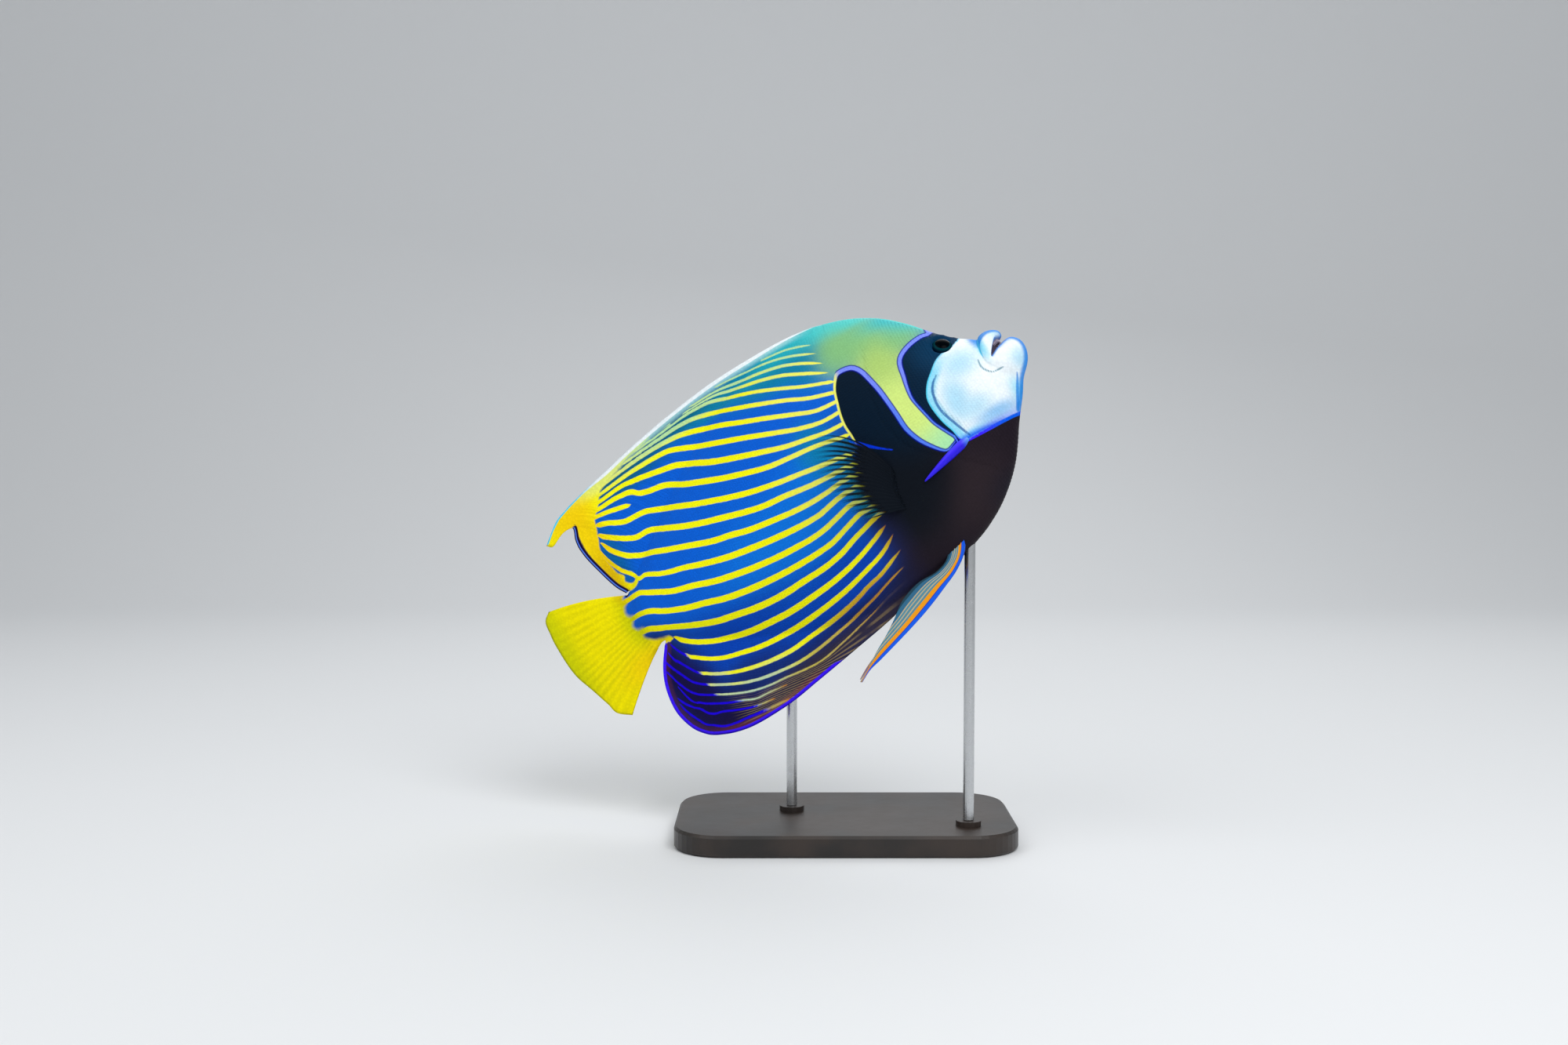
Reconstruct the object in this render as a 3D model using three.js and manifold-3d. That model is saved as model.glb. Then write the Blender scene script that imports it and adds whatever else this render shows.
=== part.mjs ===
// Adult emperor angelfish, life size, as a still museum model on a plain display stand.
// Millimetres, +Z up. The origin is the middle of the underside of the stand's base.
//
// The fish is drawn in a frame of its own and then posed. In that frame s runs back from the
// front of the lips, y runs to the fish's left and z runs up, and x is minus s.

import * as THREE from 'three';
import { mergeVertices } from 'three/addons/utils/BufferGeometryUtils.js';
import Module from 'manifold-3d';

const wasm = await Module();
wasm.setup();

// Pose of the fish over the stand: nose up, head turned to the viewer, belly banked outward
const pose = { pitch: 36, yaw: 12, roll: 16, turnsAbout: { s: 164, z: -9 }, height: 175 };

// Clearance that neighbouring pieces keep
const gap = 0.32;

// Points closer than this are one point, and pieces smaller than this volume are offcuts
const samePoint = 1e-5;
const leastPiece = 1000;

// Body outlines, each a list of [s, value] that a smooth curve runs through
const backLine = [[7, 9], [11, 12], [17, 15.5], [24, 21], [34, 32.2], [43, 44.8], [52, 55.2], [63, 64.3],
  [83, 75], [105, 80.5], [130, 81], [155, 75.5], [180, 66], [210, 51], [235, 35], [255, 21],
  [268, 12.5], [274, 10.5]];
const bellyLine = [[7, -12], [9, -17.5], [12.5, -23.6], [21, -33.3], [37, -53], [54, -66.5], [67, -73],
  [84, -78], [105, -81], [131, -80], [155, -76.5], [175, -71], [200, -60], [225, -46],
  [250, -28], [266, -19], [274, -17.5]];
const halfWidth = [[7, 7.5], [12, 10.5], [20, 13.5], [35, 19], [55, 24.5], [80, 28], [105, 28.5],
  [135, 26.5], [165, 22.5], [195, 18], [225, 13.5], [250, 9.8], [262, 7.6], [268, 5], [274, 1.4]];
const widestAt = [[7, 0], [20, -4], [50, 0], [90, 4], [150, 2], [220, -2], [274, -3.5]];
const backRoundness = [[7, 0.5], [50, 0.55], [85, 0.7], [120, 0.8], [240, 0.8], [274, 0.5]];
const bellyRoundness = [[7, 0.5], [60, 0.55], [120, 0.55], [150, 0.7], [240, 0.8], [274, 0.5]];
const sectionPower = 2.1;
const bodyStations = { first: 7, headStep: 3.9, headEnd: 62, bodyStep: 9, bodyEnd: 266,
  tail: [266, 269, 271.5, 274] };
const pointsPerSide = 16;

// Where the head, the torso and the stem of the tail part
const gillOpening = [[62, 92], [66, 72], [70, 52], [75, 34], [79.5, 16], [81, 0], [79, -12],
  [73, -24], [64, -34], [54, -44], [44, -56], [34, -74]];
const tailStemStart = 238;

// The gill cover is a plate of bone let into each cheek
const gillCover = {
  front: [[62, 30], [64, 20], [63.5, 6], [61, -8], [57.5, -20], [53, -30]],
  rear: [[72, -41], [100, -30], [100, 32]],
  thickness: 3,
  inner: 4,
  outer: 60,
  cutGap: 1.2 * gap,
};
// Space under the gill covers, as stations and a height about a middle line
const underCover = { from: 30, to: 110, step: 8, middle: -4, reach: 46, least: 0.5 };
const preopercleGroove = [[46.5, 4], [49.7, 0.1], [51.6, -6.1], [51.4, -12.2], [49.2, -19.6],
  [47, -26.9]];
const groove = { radius: 0.7, lift: 0.1, sides: 6 };

// Head details
const eye = { s: 32.7, z: 21.5, radius: 6.1, depth: 4.1, proud: 1.5 };
const eyeRim = { thick: 0.8, outside: 0.4, sunk: 0.5, sides: 5, around: 20 };
const nostrils = [{ s: 25.4, z: 19.4, radius: 0.9 }, { s: 23.2, z: 17, radius: 0.7 }];
const nostrilDepth = 1.6;
const mouth = { s: 8, z: 4.4, width: 6.6, height: 4.3 };
const upperLip = { front: 10.4, back: 16, top: 12.6, corner: 1.6, spread: 11.4,
  long: [6.6, 2.6], thick: [3.6, 2.2], tilt: 22 };
const lowerLip = { front: 2.5, back: 15.6, top: -2.6, corner: -3.4, spread: 11.8,
  long: [8.8, 3.6], thick: [5.0, 2.2], tilt: 96 };
const lipBow = { backPower: 1.15, dropPower: 1.5, lowerTurn: 100, step: 0.02 };
const lipSections = 23;
const lipSides = 12;
const teeth = { count: 9, length: 3.6, radius: 0.5, reach: 0.6, inward: 0.84, sunk: 0.4, lean: -0.6,
  neck: 0.6, point: 0.3, sides: 5 };
const cheekSpine = { base: [50, -32.8], tip: [80, -37.9], radius: 2.9, tipRadius: 0.45, sunk: 0.8,
  rise: 2, taper: 1.4, steps: 6 };

// Fins. Margins and roots are lists of [u, s, z], with u from the first ray to the last. The bend
// is how far the handle of a ray's curve lies from its middle. Tapers thin a fin towards its margin
const finTaper = { body: 0.4, ridge: 0.6, step: 0.01 };
const dorsalTip = 56 / 68;
const dorsal = {
  rays: 35,
  rows: 6,
  root: [[0, 84, 0], [0.42, 168, 0], [0.62, 206, 0], [0.8, 236, 0], [0.9, 252, 0], [1, 263, 0]],
  margin: [[0, 86, 77], [0.1, 107, 82], [0.2, 131, 85.3], [0.32, 160, 87.5], [0.43, 188, 87.2],
    [0.56, 221, 85], [0.65, 241, 82.6], [0.73, 262, 80.1], [0.77, 274, 78], [0.8, 284.5, 74.8],
    [dorsalTip, 296, 67]],
  rear: [[dorsalTip, 296, 67], [57 / 68, 292.3, 64.2], [58 / 68, 283.5, 67.3], [59 / 68, 276, 66.6],
    [60 / 68, 278.3, 59.5], [62 / 68, 278.6, 48.5], [64 / 68, 275.5, 34.5], [66 / 68, 271.8, 22],
    [1, 268, 14.8]],
  bend: [[0.5, 0, 0], [0.65, 0, 5], [0.73, 0, 14], [0.79, 1, 27], [dorsalTip, 2, 37],
    [57 / 68, 3, 35], [58 / 68, 0, 23], [59 / 68, 0, 12], [60 / 68, 0, 5], [0.93, 0, 1], [1, 0, 0]],
  half: [1.7, 0.28],
  ridge: 0.3,
  rootKeeps: 0.15,
  sunk: 4,
};
const anal = {
  rays: 23,
  rows: 5,
  root: [[0, 126, 0], [0.3, 176, 0], [0.6, 216, 0], [0.85, 245, 0], [1, 260, 0]],
  margin: [[0, 128, -81.6], [0.05, 137, -84.8], [0.1, 147, -86.4], [0.17, 164, -88.2],
    [0.32, 194, -91.2], [0.5, 222.5, -93.2], [0.64, 248, -91], [0.72, 260.5, -86.6],
    [0.79, 270, -80.4], [0.84, 275.9, -71.7], [0.89, 278.8, -58], [0.93, 276.6, -44.5],
    [0.97, 271, -33], [1, 264.2, -24.3]],
  half: [1.6, 0.28],
  ridge: 0.3,
  rootKeeps: 0.15,
  sunk: 4,
};
const caudal = {
  rays: 17,
  rows: 6,
  root: [[0, 266, 12.8], [1, 262.5, -20]],
  margin: [[0, 316, 33.2], [0.05, 320.3, 30.2], [0.14, 322.3, 21], [0.3, 322.8, 7.5],
    [0.5, 321.4, -8], [0.7, 316.8, -21.5], [0.85, 312.8, -33.5], [0.94, 310, -41.5],
    [1, 303, -47]],
  bend: [[0, 0, 4], [0.2, 0, 1.5], [0.7, 0, 1], [0.9, -1, 3], [1, -2, 5.5]],
  half: [2.3, 0.28],
  ridge: 0.35,
  rootKeeps: 0.25,
};
// The lists of the paired fins are [u, s, z, distance from the midplane]
const pectoral = {
  rays: 18,
  rows: 5,
  root: [[0, 91.5, -31, 23.5], [1, 95, -45, 20.5]],
  margin: [[0, 116, 13, 52], [0.2, 123.4, 3.7, 55], [0.4, 126, -6, 56], [0.6, 125, -16.5, 55],
    [0.8, 122.5, -28, 52], [0.92, 119.5, -36, 47], [1, 116, -41, 42]],
  bend: [[0, -15, 12, 0], [0.35, -10, 14, 0], [0.6, -3, 11, 0], [0.8, 0.5, 5, 0], [1, 1, 2, 0]],
  half: [1.5, 0.27],
  ridge: 0.3,
  rootKeeps: 0.25,
};
// The left pelvic fin lies folded against the belly, further back and higher than the right one
const pelvic = {
  rays: 6,
  rows: 10,
  leading: [[0, 80, -69, 6], [0.07, 84.3, -76.6, 7.5], [0.2, 94.4, -84.6, 8], [0.32, 106.6, -89.3, 8],
    [0.47, 120.6, -93.9, 8], [0.6, 132.7, -97, 8], [0.72, 145.5, -99.8, 8],
    [0.85, 158.3, -102.4, 8], [0.93, 166.3, -103.9, 8], [1, 173.3, -107, 8]],
  trailing: [[0, 90, -69, 6], [0.07, 94, -75.5, 7.5], [0.2, 104, -79.6, 8.4], [0.32, 116, -79, 8.6],
    [0.47, 129.8, -82.4, 8.2], [0.6, 138.5, -87.8, 8], [0.72, 147, -92.6, 8],
    [0.85, 157.5, -97.6, 8], [0.93, 165.9, -102, 8], [1, 174.2, -106.2, 8]],
  folded: { width: 0.5, s: 4, z: 3.8 },
  half: [1.5, 0.3],
  ridge: 0.3,
  rootKeeps: 0.1,
};

// Display stand
const base = { length: 190, width: 112, height: 12, corner: 26, cornerSteps: 5, bevel: 1.5,
  centre: [32, -4] };
const collar = { radius: 7, height: 3, sunk: 1 };
const rod = { radius: 3, sides: 16 };
const rods = {
  stand_rod_front: { s: 77, z: -68, y: 0 },
  stand_rod_rear: { s: 186, z: -42, y: 8 },
};

// Colours, as [hex, roughness, metalness]
const finishes = {
  head: [0x16303f, 0.45, 0],
  gill: [0xb6cf45, 0.45, 0],
  lips: [0xdff0f6, 0.4, 0],
  eye: [0x0b1116, 0.15, 0],
  spine: [0x2a2fe0, 0.35, 0],
  flank: [0x1f63c8, 0.45, 0],
  dorsal: [0x3aa6c0, 0.45, 0],
  anal: [0x14246b, 0.45, 0],
  tail: [0xf2dc0c, 0.45, 0],
  clearFin: [0x8aa0a0, 0.4, 0],
  pelvic: [0xc98a2a, 0.45, 0],
  base: [0x17181a, 0.5, 0],
  steel: [0xb9bcc0, 0.3, 1],
};

// Smooth curve through rising knots, with slopes that follow the spacing of the knots
function curve(knots, x, column = 1) {
  const last = knots.length - 1;
  const at = THREE.MathUtils.clamp(x, knots[0][0], knots[last][0]);
  let i = 0;
  while (i < last - 1 && at >= knots[i + 1][0]) {
    i += 1;
  }
  const span = (k) => knots[k + 1][0] - knots[k][0];
  const rise = (k) => (knots[k + 1][column] - knots[k][column]) / span(k);
  const slope = (k) => {
    if (k === 0) {
      return rise(0);
    }
    if (k === last) {
      return rise(last - 1);
    }
    return (rise(k - 1) * span(k) + rise(k) * span(k - 1)) / (span(k) + span(k - 1));
  };
  const h = span(i);
  const t = (at - knots[i][0]) / h;
  const t2 = t * t;
  const t3 = t2 * t;
  return (2 * t3 - 3 * t2 + 1) * knots[i][column] + (t3 - 2 * t2 + t) * h * slope(i)
    + (3 * t2 - 2 * t3) * knots[i + 1][column] + (t3 - t2) * h * slope(i + 1);
}

// A point of the fish from its distance back, its distance to the left and its height
function point(s, y, z) {
  return new THREE.Vector3(-s, y, z);
}

function mix(a, b, t) {
  return a + (b - a) * t;
}

// Thickness of one flank at a place on the side of the body
function flankAt(s, z) {
  const middle = curve(widestAt, s);
  const above = z >= middle;
  const edge = above ? curve(backLine, s) : curve(bellyLine, s);
  const roundness = curve(above ? backRoundness : bellyRoundness, s);
  const t = THREE.MathUtils.clamp((z - middle) / (edge - middle), 0, 1);
  return curve(halfWidth, s) * (1 - t ** sectionPower) ** roundness;
}

// Outward direction of a flank, side -1 for the right and 1 for the left
function flankNormal(s, z, side) {
  const step = 0.5;
  const along = (flankAt(s + step, z) - flankAt(s - step, z)) / (2 * step);
  const up = (flankAt(s, z + step) - flankAt(s, z - step)) / (2 * step);
  return new THREE.Vector3(along, side, -up).normalize();
}

function onFlank(s, z, side, lift = 0) {
  return point(s, side * flankAt(s, z), z).addScaledVector(flankNormal(s, z, side), lift);
}

// Closed solid from a geometry
function solidOf(geometry) {
  const bare = geometry.clone();
  bare.deleteAttribute('normal');
  bare.deleteAttribute('uv');
  const merged = mergeVertices(bare, samePoint);
  const numbers = merged.attributes.position.array;
  const index = Array.from(merged.index.array);
  const corner = (k) => new THREE.Vector3().fromArray(numbers, 3 * index[k]);
  const kept = [];
  let volume = 0;
  for (let k = 0; k < index.length; k += 3) {
    const [a, b, c] = [index[k], index[k + 1], index[k + 2]];
    if (a !== b && b !== c && c !== a) {
      kept.push([a, b, c]);
      volume += corner(k).dot(corner(k + 1).cross(corner(k + 2)));
    }
  }
  const outward = volume > 0 ? kept : kept.map(([a, b, c]) => [a, c, b]);
  return new wasm.Manifold(new wasm.Mesh({
    numProp: 3,
    vertProperties: new Float32Array(numbers),
    triVerts: new Uint32Array(outward.flat()),
  }));
}

// Geometry from points and triangles
function geometryOf(points, faces) {
  const geometry = new THREE.BufferGeometry().setFromPoints(points);
  geometry.setIndex(faces.flat());
  return geometry;
}

// Rings of equal count joined side by side, and closed by a fan at each end
function loft(rings) {
  const count = rings[0].length;
  const points = rings.flat();
  const faces = [];
  for (let i = 0; i < rings.length - 1; i += 1) {
    for (let j = 0; j < count; j += 1) {
      const k = (j + 1) % count;
      const here = i * count;
      const next = here + count;
      faces.push([here + j, here + k, next + k], [here + j, next + k, next + j]);
    }
  }
  const ends = [[rings[0], 0, 1], [rings.at(-1), (rings.length - 1) * count, -1]];
  for (const [ring, start, turn] of ends) {
    const centre = ring.reduce((sum, p) => sum.add(p), new THREE.Vector3()).divideScalar(count);
    points.push(centre);
    for (let j = 0; j < count; j += 1) {
      const k = (j + 1) % count;
      const pair = turn > 0 ? [start + k, start + j] : [start + j, start + k];
      faces.push([points.length - 1, ...pair]);
    }
  }
  return geometryOf(points, faces);
}

// Thin plate with two faces split alike. The grid holds { at, side, half } by column and row
function plate(grid) {
  const rows = grid[0].length;
  const points = [];
  for (const column of grid) {
    for (const { at, side, half } of column) {
      points.push(at.clone().addScaledVector(side, half), at.clone().addScaledVector(side, -half));
    }
  }
  const near = (i, j) => 2 * (i * rows + j);
  const far = (i, j) => near(i, j) + 1;
  const faces = [];
  for (let i = 0; i < grid.length - 1; i += 1) {
    for (let j = 0; j < rows - 1; j += 1) {
      faces.push([near(i, j), near(i + 1, j), near(i + 1, j + 1)]);
      faces.push([near(i, j), near(i + 1, j + 1), near(i, j + 1)]);
      faces.push([far(i, j), far(i + 1, j + 1), far(i + 1, j)]);
      faces.push([far(i, j), far(i, j + 1), far(i + 1, j + 1)]);
    }
  }
  const down = [...Array(rows).keys()];
  const across = [...Array(grid.length).keys()];
  const rim = [...across.map((i) => [i, 0]), ...down.slice(1).map((j) => [grid.length - 1, j]),
    ...across.slice(0, -1).reverse().map((i) => [i, rows - 1]),
    ...down.slice(1, -1).reverse().map((j) => [0, j])];
  rim.forEach(([i, j], k) => {
    const [m, n] = rim[(k + 1) % rim.length];
    faces.push([near(i, j), far(m, n), near(m, n)], [near(i, j), far(i, j), far(m, n)]);
  });
  return geometryOf(points, faces);
}

// Body surface, grown outward by a clearance
function bodySolid(grow = 0) {
  const rings = [];
  const stations = [];
  for (let s = bodyStations.first; s < bodyStations.headEnd; s += bodyStations.headStep) {
    stations.push(s);
  }
  for (let s = bodyStations.headEnd; s < bodyStations.bodyEnd; s += bodyStations.bodyStep) {
    stations.push(s);
  }
  stations.push(...bodyStations.tail);
  const ends = new Map([[stations[0], -grow], [stations.at(-1), grow]]);
  for (const s of stations) {
    const end = ends.get(s) ?? 0;
    const middle = curve(widestAt, s);
    const marks = [];
    for (let j = -pointsPerSide / 2; j <= pointsPerSide / 2; j += 1) {
      marks.push(Math.sin((Math.PI * j) / pointsPerSide));
    }
    const side = (sign) => marks.map((t) => {
      const edge = curve(t > 0 ? backLine : bellyLine, s);
      const z = middle + Math.abs(t) * (edge - middle);
      const y = Math.abs(t) === 1 ? 0 : sign * (flankAt(s, z) + grow);
      return point(s + end, y, z + t * grow);
    });
    rings.push([...side(1), ...side(-1).reverse().slice(1, -1)]);
  }
  return solidOf(loft(rings));
}

// Body surface drawn in by the thickness of a plate
function bodyCore(depth) {
  const rings = [];
  const quarter = pointsPerSide / 2;
  for (let s = underCover.from; s <= underCover.to; s += underCover.step) {
    const ring = [];
    for (let j = 0; j < 2 * pointsPerSide; j += 1) {
      const angle = (Math.PI * j) / pointsPerSide;
      const z = underCover.middle + underCover.reach * Math.sin(angle);
      const side = j % pointsPerSide === quarter ? 0 : Math.sign(Math.cos(angle));
      ring.push(point(s, side * Math.max(flankAt(s, z) - depth, underCover.least), z));
    }
    rings.push(ring);
  }
  return solidOf(loft(rings));
}

// Thin curved sheet across the whole width of the fish, which parts one piece from the next
function partingSheet(line, thickness = gap) {
  const reach = gillCover.outer;
  const rings = line.map(([s, z], i) => {
    const before = line[Math.max(i - 1, 0)];
    const after = line[Math.min(i + 1, line.length - 1)];
    const along = new THREE.Vector2(after[0] - before[0], after[1] - before[1]).normalize();
    const [ds, dz] = [(-along.y * thickness) / 2, (along.x * thickness) / 2];
    return [point(s + ds, -reach, z + dz), point(s + ds, reach, z + dz),
      point(s - ds, reach, z - dz), point(s - ds, -reach, z - dz)];
  });
  return solidOf(loft(rings));
}

// Straight-sided block across the fish over an outline of [s, z], on one side only
function sideBlock(outline, side, grow = 0) {
  const corners = outline.map(([s, z]) => new THREE.Vector2(s, z));
  const middle = corners.reduce((sum, p) => sum.add(p), new THREE.Vector2())
    .divideScalar(corners.length);
  const ring = (y) => corners.map((p) => {
    const out = p.clone().add(p.clone().sub(middle).setLength(grow));
    return point(out.x, side * y, out.y);
  });
  return solidOf(loft([ring(gillCover.inner), ring(gillCover.outer)]));
}

function largest(solid) {
  const pieces = solid.decompose();
  return pieces.reduce((best, piece) => (piece.volume() > best.volume() ? piece : best));
}

// Ball or flattened ball whose short axis points along a direction
function ball(centre, radius, depth, direction, [around, rows] = [14, 10]) {
  const geometry = new THREE.SphereGeometry(radius, around, rows);
  geometry.scale(1, depth / radius, 1);
  const turn = new THREE.Quaternion().setFromUnitVectors(new THREE.Vector3(0, 1, 0), direction);
  geometry.applyQuaternion(turn);
  geometry.translate(centre.x, centre.y, centre.z);
  return solidOf(geometry);
}

// Round rod that tapers along a list of points, with a radius at each
function taperedRod(path, radii, sides = 8) {
  const rings = path.map((p, i) => {
    const [before, after] = [path[Math.max(i - 1, 0)], path[Math.min(i + 1, path.length - 1)]];
    const along = after.clone().sub(before).normalize();
    const across = new THREE.Vector3(0, 0, 1).cross(along).normalize();
    const up = along.clone().cross(across);
    const ring = [];
    for (let j = 0; j < sides; j += 1) {
      const angle = (2 * Math.PI * j) / sides;
      ring.push(p.clone().addScaledVector(across, radii[i] * Math.cos(angle))
        .addScaledVector(up, radii[i] * Math.sin(angle)));
    }
    return ring;
  });
  return solidOf(loft(rings));
}

// One lip: a fat bow from corner to corner of the mouth, w from -1 on the right to 1 on the left
function lipCentre(lip, w) {
  const a = Math.abs(w);
  const s = mix(lip.front, lip.back, a ** lipBow.backPower);
  const z = mix(lip.top, lip.corner, a ** lipBow.dropPower);
  return point(s, lip.spread * Math.sin((Math.PI / 2) * w), z);
}

function lipSolid(lip, grow = 0) {
  const rings = [];
  for (let i = 0; i < lipSections; i += 1) {
    const w = -1 + (2 * i) / (lipSections - 1);
    const a = Math.abs(w);
    const centre = lipCentre(lip, w);
    const along = lipCentre(lip, w + lipBow.step).sub(lipCentre(lip, w - lipBow.step)).normalize();
    const cornerTilt = lip === lowerLip ? lipBow.lowerTurn : 0;
    const tilt = THREE.MathUtils.degToRad(mix(lip.tilt, cornerTilt, a));
    const long = new THREE.Vector3(-Math.cos(tilt), 0, Math.sin(tilt));
    long.addScaledVector(along, -long.dot(along)).normalize();
    const thick = along.clone().cross(long);
    const longRadius = mix(lip.long[0], lip.long[1], a) + grow;
    const thickRadius = mix(lip.thick[0], lip.thick[1], a) + grow;
    const ring = [];
    for (let j = 0; j < lipSides; j += 1) {
      const angle = (2 * Math.PI * j) / lipSides;
      ring.push(centre.clone().addScaledVector(long, longRadius * Math.cos(angle))
        .addScaledVector(thick, thickRadius * Math.sin(angle)));
    }
    rings.push(ring);
  }
  return solidOf(loft(rings));
}

// Grid of a fin: columns for rays and the membrane between them, rows from root to margin
function finGrid({ rays, rows, half, ridge, rootKeeps }, place) {
  const grid = [];
  const columns = 2 * rays - 1;
  const { step } = finTaper;
  for (let i = 0; i < columns; i += 1) {
    const u = i / (columns - 1);
    const column = [];
    for (let j = 0; j <= rows; j += 1) {
      const v = j / rows;
      const at = place(u, v);
      const alongU = place(Math.min(u + step, 1), v).sub(place(Math.max(u - step, 0), v));
      const alongV = place(u, Math.min(v + step, 1)).sub(place(u, Math.max(v - step, 0)));
      const side = alongU.cross(alongV).normalize();
      const fall = Math.max(0, (v - rootKeeps) / (1 - rootKeeps));
      const body = half[1] + (half[0] - half[1]) * (1 - fall) ** 2 * (1 - finTaper.body * v);
      const raised = i % 2 === 0 ? ridge * (1 - finTaper.ridge * v) : 0;
      column.push({ at, side, half: body + raised });
    }
    grid.push(column);
  }
  return grid;
}

function knotPoint(knots, u) {
  return [curve(knots, u, 1), curve(knots, u, 2), knots[0].length > 3 ? curve(knots, u, 3) : 0];
}

// Place on a ray that runs from its root to the margin, bowed towards a handle
function onRay(fin, u, v, [s, z], margin) {
  const [ms, mz] = knotPoint(margin, u);
  const [bendS, bendZ] = fin.bend ? knotPoint(fin.bend, u) : [0, 0];
  const bow = 2 * v * (1 - v);
  return point(mix(s, ms, v) + bow * bendS, 0, mix(z, mz, v) + bow * bendZ);
}

// Median fin on the back or the belly, its root sunk under the body's outline
function medianFin(fin, outline, sign) {
  return solidOf(plate(finGrid(fin, (u, v) => {
    const s = curve(fin.root, u, 1);
    const margin = fin.rear && u > fin.rear[0][0] ? fin.rear : fin.margin;
    return onRay(fin, u, v, [s, curve(outline, s) - sign * fin.sunk], margin);
  })));
}

function caudalFin() {
  const place = (u, v) => onRay(caudal, u, v, knotPoint(caudal.root, u), caudal.margin);
  return solidOf(plate(finGrid(caudal, place)));
}

function pectoralFin(side) {
  const place = (u, v) => {
    const [s, z, out] = knotPoint(pectoral.root, u);
    const [ms, mz, mout] = knotPoint(pectoral.margin, u);
    const [bendS, bendZ, bendOut] = knotPoint(pectoral.bend, u);
    const bow = 2 * v * (1 - v);
    return point(mix(s, ms, v) + bow * bendS, side * (mix(out, mout, v) + bow * bendOut),
      mix(z, mz, v) + bow * bendZ);
  };
  return solidOf(plate(finGrid(pectoral, place)));
}

function pelvicFin(side) {
  const { width, s: back, z: up } = side > 0 ? pelvic.folded : { width: 1, s: 0, z: 0 };
  const place = (u, v) => {
    const [s, z, out] = knotPoint(pelvic.leading, v);
    const [ts, tz, tout] = knotPoint(pelvic.trailing, v);
    const across = u * width;
    return point(mix(s, ts, across) + back, side * mix(out, tout, across), mix(z, tz, across) + up);
  };
  return solidOf(plate(finGrid(pelvic, place)));
}

function lipTeeth(lip) {
  const crowns = [];
  for (let i = 0; i < teeth.count; i += 1) {
    const w = mix(-teeth.reach, teeth.reach, i / (teeth.count - 1));
    const root = lipCentre(lip, w);
    root.y *= teeth.inward;
    root.z -= lip.thick[0] * teeth.sunk;
    const tip = root.clone().add(point(teeth.lean, 0, -teeth.length));
    const radii = [teeth.radius, teeth.radius, teeth.radius * teeth.point];
    crowns.push(taperedRod([root, root.clone().lerp(tip, teeth.neck), tip], radii, teeth.sides));
  }
  return wasm.Manifold.union(crowns);
}

function meshOf(name, solid, [color, roughness, metalness]) {
  const { vertProperties, triVerts } = solid.getMesh();
  const geometry = new THREE.BufferGeometry();
  geometry.setAttribute('position', new THREE.BufferAttribute(new Float32Array(vertProperties), 3));
  geometry.setIndex(new THREE.BufferAttribute(new Uint32Array(triVerts), 1));
  geometry.computeVertexNormals();
  const mesh = new THREE.Mesh(geometry, new THREE.MeshStandardMaterial({ color, roughness, metalness }));
  mesh.name = name;
  return mesh;
}

// Fish group, turned into its pose
const fish = new THREE.Group();
const { degToRad } = THREE.MathUtils;
fish.rotation.set(-degToRad(pose.roll), -degToRad(pose.pitch), -degToRad(pose.yaw), 'YZX');
const pivot = point(pose.turnsAbout.s, 0, pose.turnsAbout.z).applyEuler(fish.rotation);
fish.position.set(0, 0, pose.height).sub(pivot);
fish.updateMatrix();

const body = bodySolid();
const bodyClear = bodySolid(gap);

// Head, torso and stem of the tail, from front to back
const tailCut = [[tailStemStart, 90], [tailStemStart, -90]];
const lengths = body.subtract(partingSheet(gillOpening)).subtract(partingSheet(tailCut)).decompose()
  .filter((piece) => piece.volume() > leastPiece)
  .sort((a, b) => b.boundingBox().max[0] - a.boundingBox().max[0]);
const [wholeHead, torso, tailStem] = lengths;

const mouthSpace = ball(point(mouth.s, 0, mouth.z), mouth.width, mouth.height, point(0, 0, 1));
const coverOutline = [...gillCover.front, ...gillCover.rear];
const innerBody = bodyCore(gillCover.thickness);
const innerBodyClear = bodyCore(gillCover.thickness + gap);

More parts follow.
